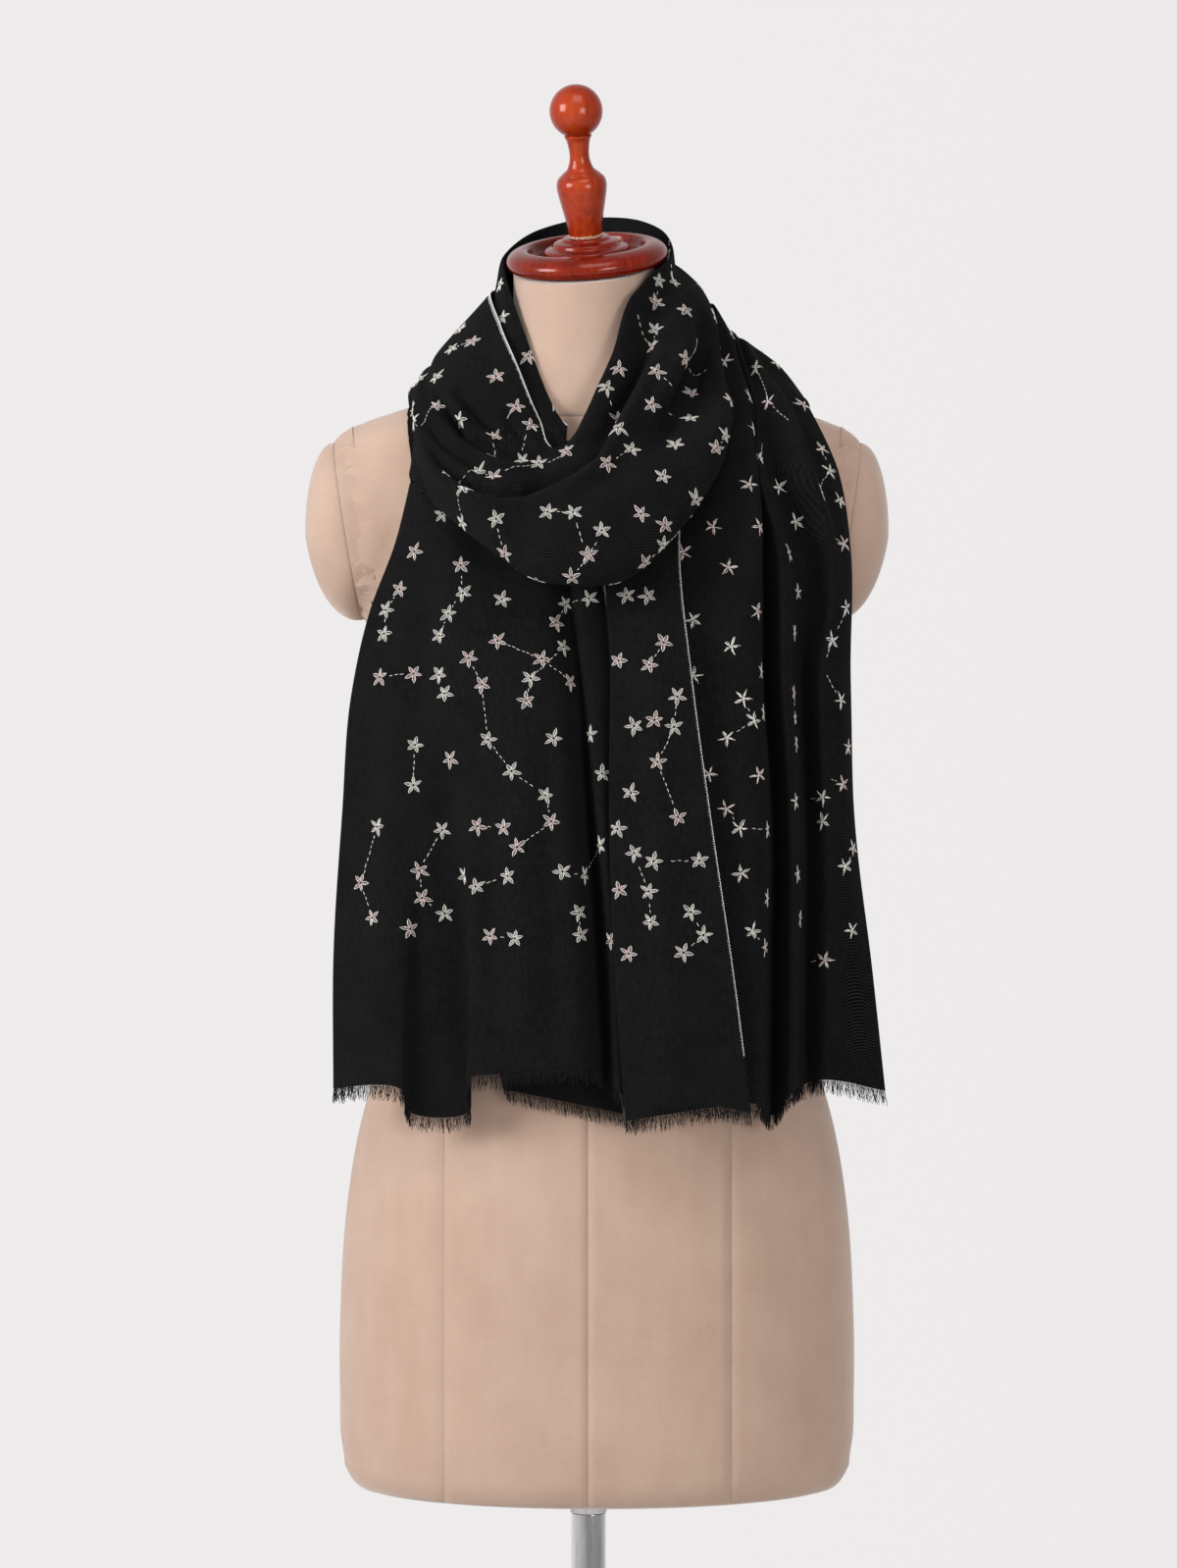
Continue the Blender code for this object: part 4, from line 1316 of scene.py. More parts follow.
@dataclass
class Shawl:
    """The wound shawl: its turn round the neck and the tails that hang from it."""

    form: DressForm
    spacing: float = 2.4
    edge_across: int = 108
    front_turn: Pair = (262.0, 436.0)
    turn_steps: tuple[float, float, float] = (1.75, 0.98, 1.75)
    collar_end: float = 236.0
    cowl_end: float = 448.0
    degree_length: float = 2.0
    crease_fade: float = 14.0
    fold_fade: float = 12.0
    fold_front: float = -10.0
    fold_blend: float = 20.0
    clear: float = 1.6
    near: float = 12.0
    flap_share: float = 0.66
    flap_hem: tuple[Pair, ...] = ((-130, 945), (-62, 943), (-57, 919), (-20, 912), (24, 903))
    layer_clear: float = 2.6
    layer_reach: float = 14.0
    layer_slack: float = 0.1
    far_out: float = 400.0
    curl_depth: float = 3.0
    curl_reach: float = 9.0
    curl_columns: int = 6
    cowl_front: float = -34.0
    cowl_top: float = 1412.0
    cowl_lift: float = 12.0
    wrap_folds: tuple[tuple[float, float, Fold], ...] = (
        (275, 462, Fold(((-128, 1384), (-120, 1374), (-110, 1360), (-101, 1349), (-90, 1341),
            (-79, 1333), (-62, 1327), (-44, 1328), (-24, 1336), (-11, 1344), (2, 1354), (9, 1368),
            (17, 1384), (27, 1403), (38, 1426), (49, 1452), (60, 1471)), -11, 4.2)),
        (275, 462, Fold(((-131, 1373), (-122, 1362), (-112, 1350), (-103, 1339), (-92, 1330),
            (-80, 1322), (-62, 1316), (-42, 1317), (-20, 1326), (-5, 1335), (9, 1346), (17, 1360),
            (26, 1378), (36, 1398), (47, 1421), (58, 1446), (70, 1466)), 5.5, 6.5)),
        (275, 440, Fold(((-120, 1390), (-109, 1374), (-97, 1361), (-84, 1351), (-70, 1342),
            (-52, 1338)), -4.5, 3)),
        (275, 440, Fold(((-62, 1392), (-54, 1378), (-45, 1366), (-36, 1356)), -4.5, 3.4)),
        (275, 430, Fold(((-112, 1408), (-103, 1395), (-97, 1383), (-88, 1373), (-79, 1366), (-67, 1359),
            (-54, 1355), (-40, 1353), (-30, 1358)), -8, 3.6)),
        (275, 430, Fold(((-117, 1402), (-109, 1388), (-101, 1376), (-91, 1365), (-80, 1357),
            (-66, 1349), (-50, 1345), (-34, 1346)), 4.5, 4.2)),
        (275, 420, Fold(((-104, 1419), (-93, 1402), (-77, 1382), (-59, 1367), (-40, 1355)), -6, 3.4)),
        (275, 420, Fold(((-106, 1412), (-95, 1394), (-79, 1373), (-62, 1359)), 4, 4.2)),
        (275, 420, Fold(((-108, 1430), (-99, 1416), (-88, 1400)), 3, 5)),
        (340, 450, Fold(((23, 1448), (9, 1400), (-3, 1370), (-13, 1357), (-27, 1353)), 4, 3.8)),
        (268, 400, Fold(((88, 1448), (81, 1430), (72, 1408), (61, 1390), (53, 1374),
            (46, 1358)), -14, 6.5)),
        (270, 400, Fold(((79, 1452), (67, 1431), (54, 1402), (40, 1377)), 4, 8)),
        (270, 400, Fold(((93, 1437), (96, 1410), (93, 1384), (82, 1357)), 4, 7)),
        (300, 400, Fold(((-70, 1318), (-40, 1298), (0, 1290), (40, 1302)), -2, 9)),
        (300, 400, Fold(((70, 1372), (52, 1345), (24, 1322), (-12, 1308)), 2, 10)),
        (280, 380, Fold(((-104, 1345), (-92, 1318), (-72, 1298)), 2, 7)),
    )
    left_folds: tuple[Fold, ...] = (
        Fold(((-102, 1190), (-98, 1100), (-90, 1000), (-86, 905)), -5, 10),
        Fold(((-60, 1250), (-52, 1150), (-46, 1030), (-44, 905)), 3, 12),
        Fold(((-30, 1200), (-26, 1100), (-22, 980), (-20, 905)), -3.2, 9),
        Fold(((-128, 1230), (-134, 1120), (-140, 1010), (-150, 905)), 3.6, 12),
        Fold(((-108, 1290), (-116, 1200), (-118, 1120)), -3.2, 9),
        Fold(((-70, 1130), (-66, 1040), (-62, 960)), -2.4, 8),
    )
    right_folds: tuple[Fold, ...] = (
        Fold(((176, 1240), (174, 1120), (180, 1000), (186, 905)), 2, 7),
        Fold(((150, 1330), (160, 1240), (166, 1150)), -2, 7),
        Fold(((146, 1150), (150, 1030), (152, 905)), 1.6, 5),
        Fold(((112, 1380), (118, 1330), (112, 1270)), 1.6, 5),
    )
    turned_folds: tuple[Fold, ...] = (
        Fold(((44, 1280), (48, 1150), (52, 1020), (60, 905)), 1.5, 9),
        Fold(((32, 1200), (34, 1080), (38, 960)), -1.3, 7),
    )

    def sections(self, angles: np.ndarray, across: int) -> np.ndarray:
        """Give middle points of the wound cloth before it settles.

        Args:
            angles: Winding angle of each row.
            across: Number of columns.

        Returns:
            The grid of points.
        """
        table = np.array([[row[0]] + [value for pair in row[1:] for value in pair] for row in WRAP_ROWS])
        cuts = hermite(table[:, 0], table[:, 1:], angles).reshape(len(angles), -1, 2)
        keys = table[:, 1:].reshape(len(table), -1, 2)
        knots = running_total(np.linalg.norm(np.diff(keys, axis=1), axis=2).mean(axis=0))
        rows = np.stack([hermite(knots, cut, np.linspace(0.0, knots[-1], across)) for cut in cuts])
        turn = np.radians(angles)[:, None]
        grid = np.stack([self.form.neck_shift - rows[..., 0] * np.sin(turn), -rows[..., 0] * np.cos(turn),
                         rows[..., 1]], axis=2)
        spread = np.broadcast_to(angles[:, None], rows.shape[:2])
        push = self.creases(spread, rows[..., 1])
        return grid + surface_normals(grid) * push[..., None]

    def creases(self, angle: np.ndarray, height: np.ndarray) -> np.ndarray:
        """Give the lift of the turn's creases.

        Args:
            angle: Winding angles.
            height: Heights.

        Returns:
            The lift at each place.
        """
        push = np.zeros(height.shape)
        for start, end, depth, breadth in WRAP_CREASES:
            run = np.array([(end[0] - start[0]) * self.degree_length, end[1] - start[1]])
            length = np.linalg.norm(run)
            round_by, up_by = (angle - start[0]) * self.degree_length, height - start[1]
            along = (round_by * run[0] + up_by * run[1]) / length
            aside = (round_by * run[1] - up_by * run[0]) / length
            inside = np.minimum(along + self.crease_fade, length + self.crease_fade - along)
            fade = smooth_step(inside / (2 * self.crease_fade))
            push += depth * np.exp(-(aside / breadth) ** 2) * fade
        return push

    def hanging(self, rows: tuple[tuple, ...], hem: tuple[float, ...],
                top: list[list[Point]] | None = None) -> np.ndarray:
        """Give middle points of a hanging tail.

        Args:
            rows: Its table of levels.
            hem: Height of each line at the hem.
            top: Rows over the table, if any.

        Returns:
            The grid of points.
        """
        cuts = [[(x, y, row[0]) for x, y in row[1:]] for row in rows]
        cuts[-1] = [(x, y, low) for (x, y, _), low in zip(cuts[-1], hem)]
        keys = np.array((top or []) + cuts, dtype=float)
        knots = running_total(np.linalg.norm(np.diff(keys[2:], axis=1), axis=2).mean(axis=0))
        across = int(knots[-1] / self.step()) + 1
        crossed = np.stack([hermite(knots, key, np.linspace(0.0, knots[-1], across)) for key in keys])
        levels = running_total(np.linalg.norm(np.diff(crossed, axis=0), axis=2).mean(axis=1))
        down = np.linspace(0.0, levels[-1], int(levels[-1] / self.step()) + 1)
        return hermite(levels, crossed.reshape(len(keys), -1), down).reshape(len(down), across, 3)

    def trimmed(self, grid: np.ndarray, columns: slice, hem: tuple[Pair, ...], rows: int = 30) -> np.ndarray:
        """Move the hem of some columns to a given line.

        Args:
            grid: The points.
            columns: The columns that move.
            hem: The line, as sideways place and height.
            rows: Rows over which the move fades out.

        Returns:
            The points with the new hem.
        """
        grid = grid.copy()
        places, heights = np.array(hem).T
        part = grid[:, columns]
        move = np.interp(part[-1, :, 0], places, heights) - part[-1, :, 2]
        share = smooth_step((np.arange(len(grid)) - (len(grid) - 1 - rows)) / rows)
        part[..., 2] += share[:, None] * move[None, :]
        return grid

    def step(self) -> float:
        return self.spacing * 1.0

    def settle(self, grid: np.ndarray, rounds: int = 3) -> np.ndarray:
        """Move points out until they clear the form.

        Args:
            grid: The points.
            rounds: How often they are looked at.

        Returns:
            The moved points.
        """
        grid = grid.copy()
        flat = grid.reshape(-1, 3)
        for _ in range(rounds):
            beside = flat[:, 0] - self.form.shift(flat[:, 2])
            reach = self.form.reach(flat[:, 2], np.arctan2(beside, -flat[:, 1]))
            for index in np.flatnonzero(np.hypot(beside, flat[:, 1]) < reach + self.near):
                nearest, normal, _, distance = self.form.tree.find_nearest(flat[index])
                inside = (Vector(flat[index]) - nearest).dot(normal) < -0.9 * distance
                lack = self.clear - (-distance if inside else distance)
                if lack > 0.0:
                    flat[index] += np.array(normal) * lack
        return grid

    def eased(self, before: np.ndarray, after: np.ndarray, rounds: int = 24) -> np.ndarray:
        """Spread pushes softly into the cloth beside them.

        Args:
            before: Points before the push.
            after: Points after it.
            rounds: Number of spreading steps.

        Returns:
            The points with softened pushes.
        """
        move = after - before
        held = np.linalg.norm(move, axis=2) > 1e-6
        spread = move.copy()
        for _ in range(rounds):
            edged = np.pad(spread, ((1, 1), (1, 1), (0, 0)), mode="edge")
            mean = (edged[:-2, 1:-1] + edged[2:, 1:-1] + edged[1:-1, :-2] + edged[1:-1, 2:]) / 4
            spread = np.where(held[..., None], move, mean)
        return before + spread

    def over(self, grid: np.ndarray, layers: list[BVHTree]) -> np.ndarray:
        """Move points of a later turn out over the turns under them.

        Args:
            grid: The points.
            layers: Faces of the turns under them.

        Returns:
            The moved points.
        """
        moved = grid.copy()
        flat = moved.reshape(-1, 3)
        for index in range(len(flat)):
            for layer in layers:
                nearest, normal, _, _ = layer.find_nearest(flat[index], self.layer_reach)
                if nearest is None:
                    continue
                away = Vector(flat[index]) - nearest
                height = away.dot(normal)
                if height < self.layer_clear and (away - normal * height).length < self.layer_slack:
                    flat[index] += np.array(normal) * (self.layer_clear - height)
        return self.eased(grid, moved)

    def before(self, grid: np.ndarray, tails: list[BVHTree]) -> np.ndarray:
        """Move the front of the turn forward until it clears the tails behind it.

        Args:
            grid: The points.
            tails: Faces of the tails.

        Returns:
            The moved points.
        """
        moved = grid.copy()
        flat = moved.reshape(-1, 3)
        for index in range(len(flat)):
            if flat[index][1] > self.cowl_front or flat[index][2] > self.cowl_top:
                continue
            for tail in tails:
                x, y, z = flat[index]
                axis = Vector((self.form.neck_shift, 0.0, z))
                inward = Vector((self.form.neck_shift - x, -y, 0.0)).normalized()
                hit = tail.ray_cast(axis - inward * self.far_out, inward)[0]
                if hit is None:
                    continue
                lack = (hit - Vector((x, y, z))).dot(-inward) + self.layer_clear
                if 0.0 < lack < self.cowl_lift:
                    flat[index] -= np.array(inward) * lack
        return self.eased(grid, moved)

    def folded(self, grid: np.ndarray, folds: tuple[Fold, ...], outward: float) -> np.ndarray:
        """Lay the listed folds on a tail.

        Args:
            grid: Its points.
            folds: The folds.
            outward: 1 where the grid's normals look outward, -1 where they look in.

        Returns:
            The folded points.
        """
        push = sum(fold.push(grid[..., 0], grid[..., 2]) for fold in folds)
        return grid + surface_normals(grid) * (push * outward)[..., None]

    def wound(self) -> tuple[np.ndarray, np.ndarray]:
        """Lay the whole turn with its folds.

        Returns:
            Its points and their winding angles.
        """
        marks = (WRAP_ROWS[0][0], *self.front_turn, WRAP_ROWS[-1][0])
        scale = 1.0
        turns = [np.array([marks[0]])]
        for first, last, step in zip(marks, marks[1:], self.turn_steps):
            turns.append(np.linspace(first, last, int((last - first) / (step * scale)) + 1)[1:])
        rows = np.concatenate(turns)
        grid = self.sections(rows, int(self.edge_across / scale))
        angles = np.broadcast_to(rows[:, None], grid.shape[:2])
        push = np.zeros(angles.shape)
        for start, end, fold in self.wrap_folds:
            share = smooth_step(np.minimum(angles - start, end - angles) / self.fold_fade)
            front = smooth_step((self.fold_front - grid[..., 1]) / self.fold_blend)
            push += fold.push(grid[..., 0], grid[..., 2]) * share * front
        return grid + surface_normals(grid) * push[..., None], angles

    def curled(self, turned: np.ndarray, right: np.ndarray) -> np.ndarray:
        """Carry the turned-over strip round its fold to meet the tail behind it.

        Args:
            turned: Points of the strip, with the fold at its last column.
            right: Points of the right tail, with the fold at its first column.

        Returns:
            The strip's points with columns added.
        """
        edge = turned[:, -1]
        facing = right[np.argsort(right[:, 0, 2]), 0]
        partner = read_path(edge[:, 2], facing[:, 2], facing)
        gap = np.linalg.norm(partner - edge, axis=1, keepdims=True)
        small = edge + np.array([0.0, self.curl_depth, 0.0])
        target = small + (partner - small) * smooth_step((self.curl_reach - gap) / self.curl_depth)
        middle = (edge + target) / 2
        half = (edge - target) / 2
        side = unit(np.cross(half, np.array([0.0, 0.0, 1.0]))) * np.linalg.norm(half, axis=1, keepdims=True)
        side *= np.where(side[:, :1] > 0.0, -1.0, 1.0)
        turns = np.linspace(0.0, math.pi, self.curl_columns + 1)[1:]
        added = [middle + half * math.cos(turn) + side * math.sin(turn) for turn in turns]
        return np.concatenate([turned, np.stack(added, axis=1)], axis=1)

    def sheets(self) -> dict[str, Sheet]:
        """Work out every stretch of the shawl.

        Returns:
            The stretches by name.
        """
        last_turn = WRAP_ROWS[-1][0]
        back = self.sections(np.array([last_turn - 1, last_turn + 0.5]), len(RIGHT_TOP[0]))[-1]
        top = [[tuple(point) for point in back], *(list(row) for row in RIGHT_TOP)]
        left = self.hanging(LEFT_ROWS, LEFT_HEM)
        behind = slice(int(left.shape[1] * self.flap_share), left.shape[1])
        left = self.trimmed(left, behind, self.flap_hem)
        left = self.settle(self.folded(left, self.left_folds, -1.0))
        right = self.settle(self.folded(self.hanging(RIGHT_ROWS, RIGHT_HEM, top), self.right_folds, 1.0))
        turned = self.settle(self.folded(self.hanging(TURNED_ROWS, TURNED_HEM), self.turned_folds, -1.0))
        wrap, angles = self.wound()
        wrap = self.settle(wrap)
        turns = angles[:, 0]
        collar = turns < self.collar_end
        cowl = ~collar & (turns < self.cowl_end)
        under = Sheet("under", wrap[collar], (), 1.0)
        later = self.over(wrap[~collar], [under.tree])
        wrap = np.concatenate([wrap[collar], later])
        tails = [Sheet("tail", grid, (), way).tree
                 for grid, way in ((left, -1.0), (right, 1.0), (turned, -1.0))]
        front = self.before(wrap[collar | cowl], tails)
        wrap = np.concatenate([front, wrap[~(collar | cowl)]])
        lower = Sheet("lower", wrap[cowl], (), 1.0)
        last = np.flatnonzero(~(collar | cowl))
        wrap = np.concatenate([wrap[: last[0]], self.over(wrap[last], [lower.tree, under.tree])])
        right = self.joined(right, wrap[-1])
        turned = self.curled(turned, right)
        return {
            "wrap": Sheet("shawl_wrap", wrap, ("shawl_collar", "shawl_cowl", "shawl_back"), 1.0),
            "left": Sheet("shawl_tail_left_twill", left, ("shawl_tail_left",), -1.0),
            "right": Sheet("shawl_tail_right_twill", right, ("shawl_tail_right",), 1.0, Facing.REVERSE),
            "turned": Sheet("shawl_tail_turned_twill", turned, ("shawl_tail_turned",), -1.0),
        }

    def joined(self, tail: np.ndarray, edge: np.ndarray, rows: int = 14) -> np.ndarray:
        """Bring the first rows of the right tail to the end of the turn.

        Args:
            tail: Points of the tail.
            edge: Last row of the turn.
            rows: Rows over which the move fades.

        Returns:
            The tail's points.
        """
        places, lengths = places_along(tail[0]), places_along(edge)
        move = read_path(places / places[-1] * lengths[-1], lengths, edge) - tail[0]
        tail = tail.copy()
        for row in range(rows):
            tail[row] += move * float(1 - smooth_step(np.array(row / rows)))
        return tail


@dataclass(frozen=True)
class StarStitch:
    """One embroidered star of five looped petals."""

    petals: int = 5
    petal: float = 6.5
    half_width: float = 1.02
    side: tuple[Pair, ...] = ((0.12, 0.35), (0.34, 0.88), (0.56, 1.0), (0.80, 0.58))
    strands: int = 4

    def drawn(self, rng: random.Random, facing: Facing) -> list[tuple[np.ndarray, bool]]:
        """Draw a star flat.

        Args:
            rng: Source of the small differences.
            facing: Which side of the cloth it is seen from.

        Returns:
            Flat paths, with whether each is an inner stitch.
        """
        turn = rng.uniform(0.0, 2 * math.pi)
        found = []
        for number in range(self.petals):
            heading = turn + number * 2 * math.pi / self.petals + rng.uniform(-0.13, 0.13)
            petal = self.looped(rng) if facing is Facing.FACE else self.tangled(rng)
            found += [(self.turned(flat, heading), inner) for flat, inner in petal]
        return found

    def looped(self, rng: random.Random) -> list[tuple[np.ndarray, bool]]:
        """Draw one petal of the face: a loop with a stitch inside it.

        Args:
            rng: Source of the small differences.

        Returns:
            Flat paths, with whether each is an inner stitch.
        """
        length = self.petal * rng.uniform(0.84, 1.1)
        width = self.half_width * rng.uniform(0.85, 1.2)
        lean = rng.uniform(-0.3, 0.3)
        loop = [*self.side, (1.0, 0.0), *((share, -wide) for share, wide in reversed(self.side))]
        stitch = ((0.14, 0.0), (0.42, lean * 0.6), (0.72, lean))
        scale = np.array([length, width])
        return [(np.array(loop) * scale, False), (np.array(stitch) * scale, True)]

    def tangled(self, rng: random.Random) -> list[tuple[np.ndarray, bool]]:
        """Draw one petal of the reverse: straight stitches that cross.

        Args:
            rng: Source of the small differences.

        Returns:
            Flat paths, with whether each is an inner stitch.
        """
        found = []
        for strand in range(self.strands):
            length = self.petal * rng.uniform(0.62, 1.05)
            away = rng.uniform(-1.0, 1.0)
            start = (rng.uniform(-0.8, 1.6), rng.uniform(-0.6, 0.6))
            stitch = (start, (length * 0.55, away * 1.15), (length, away * 0.5))
            found.append((np.array(stitch), strand == 1))
        return found

    def turned(self, flat: np.ndarray, heading: float) -> np.ndarray:
        """Turn a flat path round the star's middle."""
        cosine, sine = math.cos(heading), math.sin(heading)
        return flat @ np.array([[cosine, sine], [-sine, cosine]])


@dataclass
class StarField:
    """Stars in loose chains joined by dashed lines, laid out for one sheet by its own seed."""

    sheet: Sheet
    others: tuple[Sheet, ...]
    count: int
    seed: int
    finishes: tuple[bpy.types.Material, ...]
    margin: float = 8.0
    plain_end: float = 8.0
    apart: float = 13.5
    between_chains: float = 26.0
    tries: int = 9000
    chain_links: tuple[int, ...] = (0, 1, 2, 3, 3, 4, 5, 6)
    link_lengths: tuple[float, ...] = (15.0, 17.0, 20.0, 26.0, 32.0, 38.0)
    longest_link: float = 42.0
    star: StarStitch = StarStitch()
    widest: float = 1.35
    radius: float = 0.26
    dash: float = 2.5
    gap: float = 1.6
    clear_middle: float = 6.4
    lift: float = 0.15
    look_from: float = 0.6
    look_reach: float = 20.0
    across: np.ndarray = field(init=False, repr=False)
    along: np.ndarray = field(init=False, repr=False)
    normals: np.ndarray = field(init=False, repr=False)
    rng: random.Random = field(init=False, repr=False)

    def __post_init__(self) -> None:
        """Measure the sheet."""
        across, along = self.sheet.flat_places()
        self.across, self.along = across.mean(axis=0), along.mean(axis=1)
        self.normals = self.sheet.normals()
        self.rng = random.Random(self.seed)

    def numbered(self, place: Pair) -> Pair:
        """Turn a flat place into row and column."""
        return (float(np.interp(place[1], self.along, np.arange(len(self.along)))),
                float(np.interp(place[0], self.across, np.arange(len(self.across)))))

    def point(self, place: Pair) -> np.ndarray:
        """Give the point of a flat place."""
        row, column = self.numbered(place)
        return self.sheet.read(np.array([row]), np.array([column]), self.sheet.grid)[0]

    def raised(self, rows: np.ndarray, columns: np.ndarray) -> np.ndarray:
        """Give points just over the cloth's outer side.

        Args:
            rows: Places along.
            columns: Places across.

        Returns:
            The points.
        """
        points = self.sheet.read(rows, columns, self.sheet.grid)
        normals = unit(self.sheet.read(rows, columns, self.normals))
        return points + normals * (self.sheet.wall * 0.5 + self.lift)

    def hidden(self, place: Pair) -> bool:
        """Tell whether another layer lies close over a flat place.

        Args:
            place: The flat place.

        Returns:
            Whether one does.
        """
        row, column = self.numbered(place)
        rows, columns = np.array([row]), np.array([column])
        normal = Vector(unit(self.sheet.read(rows, columns, self.normals))[0])
        start = Vector(self.raised(rows, columns)[0]) + normal * self.look_from
        hits = (other.tree.ray_cast(start, normal, self.look_reach)[0] for other in self.others)
        return any(hit is not None for hit in hits)

    def free(self, place: Pair, taken: list[Pair], apart: float) -> bool:
        """Tell whether a star may go at a flat place.

        Args:
            place: The flat place.
            taken: Places of the stars so far.
            apart: Least distance to them.

        Returns:
            Whether it may.
        """
        ends = (self.across[-1] - self.margin, self.along[-1] - self.plain_end)
        if not all(self.margin <= value <= end for value, end in zip(place, ends)):
            return False
        if any(math.dist(place, other) < apart * 0.6 for other in taken):
            return False
        point = self.point(place)
        close = [other for other in taken if math.dist(place, other) < apart * 3]
        if any(float(np.linalg.norm(point - self.point(other))) < apart for other in close):
            return False
        return not self.hidden(place)

    def layout(self) -> list[list[Pair]]:
        """Choose the chains of stars.

        Returns:
            Chains of flat places.
        """
        rng = self.rng
        taken: list[Pair] = []
        chains = []
        for _ in range(self.tries):
            if len(taken) >= self.count:
                break
            place = (rng.uniform(0.0, self.across[-1]), rng.uniform(0.0, self.along[-1]))
            if not self.free(place, taken, self.between_chains):
                continue
            chain = [place]
            heading = rng.uniform(0.0, 2 * math.pi)
            for _ in range(rng.choice(self.chain_links)):
                heading += rng.choice((-1.0, 1.0)) * rng.uniform(0.2, 1.3)
                step = rng.choice(self.link_lengths) * rng.uniform(0.97, 1.08)
                place = (place[0] + step * math.cos(heading), place[1] + step * math.sin(heading))
                if not self.free(place, taken + chain, self.apart):
                    break
                chain.append(place)
            taken += chain
            chains.append(chain)
        return chains

    def laid(self, place: Pair, flat: np.ndarray) -> np.ndarray:
        """Lay a flat path on the cloth round a place.

        Args:
            place: The flat place of its middle.
            flat: The path in millimetres.

        Returns:
            Points on the cloth.
        """
        row, column = self.numbered(place)
        beside = np.array([0.5, -0.5, 0.0, 0.0])
        below, above, left, right = self.sheet.read(row + beside, column + beside[::-1], self.sheet.grid)
        down, over = below - above, right - left
        first = unit(over)
        second = unit(down - first * float(down @ first))
        rows = flat[:, 1] / max(float(down @ second), 0.3)
        columns = (flat[:, 0] - rows * float(down @ first)) / max(float(over @ first), 0.3)
        return self.raised(row + rows, column + columns)

    def link(self, maker: MeshMaker, start: Pair, end: Pair) -> None:
        """Stitch a dashed line between two stars.

        Args:
            maker: Collector of the threads.
            start: Flat place of the first star.
            end: Flat place of the second star.
        """
        rng = self.rng
        length = math.dist(start, end)
        run = np.array([end[0] - start[0], end[1] - start[1]]) / length
        side = np.array([-run[1], run[0]])
        place = self.clear_middle
        while place + self.dash * 0.6 < length - self.clear_middle:
            stitch = min(self.dash * rng.uniform(0.8, 1.2), length - self.clear_middle - place)
            drift = rng.uniform(-0.3, 0.3)
            flat = [np.array(start) + run * (place + stitch * share) + side * (drift + bow)
                    for share, bow in ((0.0, 0.0), (0.5, 0.12), (1.0, rng.uniform(-0.2, 0.2)))]
            where = np.array([self.numbered(tuple(point)) for point in flat])
            path = self.raised(where[:, 0], where[:, 1])
            if float(np.linalg.norm(path[-1] - path[0])) < stitch * 1.6:
                maker.thread(path, self.radius, kind=Wool.CREAM.value)
            place += stitch + self.gap * rng.uniform(0.7, 1.3)

    def build(self, name: str) -> bpy.types.Object:
        """Stitch all the stars.

        Args:
            name: Name of the piece.

        Returns:
            The new object.
        """
        maker = MeshMaker(name, self.finishes)
        chains = self.layout()
        for chain in chains:
            for place in chain:
                pink = self.rng.random() < 0.5
                drawn = self.star.drawn(self.rng, self.sheet.facing)
                threads = [(self.laid(place, flat), inner) for flat, inner in drawn]
                spread = np.concatenate([path for path, _ in threads]) - self.point(place)
                if float(np.linalg.norm(spread, axis=1).max()) > self.star.petal * self.widest:
                    continue
                for path, inner in threads:
                    kind = Wool.PINK if inner and pink else Wool.CREAM
                    maker.thread(path, self.radius, kind=kind.value)
            for start, end in zip(chain, chain[1:]):
                length = float(np.linalg.norm(self.point(start) - self.point(end)))
                if 2 * self.clear_middle + 2 < length < self.longest_link:
                    self.link(maker, start, end)
        LOG.info("%s: %d stars", name, sum(len(chain) for chain in chains))
        return dress(maker.finish())


@dataclass
class Selvedge:
    """White whip stitching over one long edge of a sheet."""

    sheet: Sheet
    first: float
    last: float
    finishes: tuple[bpy.types.Material, ...]
    weight: float
    pitch: float = 1.6
    reach: float = 1.9
    radius: float = 0.26
    edge_radius: float = 0.38
    edge_out: float = 0.15
    edge_swell: float = 0.12
    seed: int = 5

    def build(self, name: str) -> bpy.types.Object:
        """Stitch the edge.

        Args:
            name: Name of the piece.

        Returns:
            The new object.
        """
        rng = random.Random(self.seed)
        maker = MeshMaker(name, self.finishes)
        last_row = self.sheet.grid.shape[0] - 1
        part = slice(int(self.first * last_row), int(self.last * last_row) + 1)
        edge, beside = self.sheet.grid[part, 0], self.sheet.grid[part, 1]
        lines = (edge, unit(edge - beside), self.sheet.normals()[part, 0])
        lengths = places_along(edge)
        half = self.sheet.wall * 0.5
        cord = np.arange(0.0, lengths[-1], self.pitch * 0.5)
        points, outs, normals = (read_path(cord, lengths, values) for values in lines)
        swell = self.edge_swell * np.sin(np.arange(len(cord)) * 2.1)[:, None]
        path = points + outs * (self.edge_out + swell) + normals * half * 0.7
        maker.thread(path, self.edge_radius * self.weight, sides=5, tip=0.5)
        reach = self.reach * self.weight
        raise_by = np.array([half + 0.1, half + 0.4, half + 0.12])[:, None]
        for place in np.arange(self.pitch, lengths[-1] - self.pitch, self.pitch):
            spots = np.array([place, place + 0.35, place + rng.uniform(0.3, 0.9)])
            points, outs, normals = (read_path(spots, lengths, values) for values in lines)
            depth = np.array([-0.3, reach * 0.5, reach * rng.uniform(0.6, 1.3)])[:, None]
            maker.thread(points - outs * depth + normals * raise_by, self.radius * self.weight)
        return dress(maker.finish())


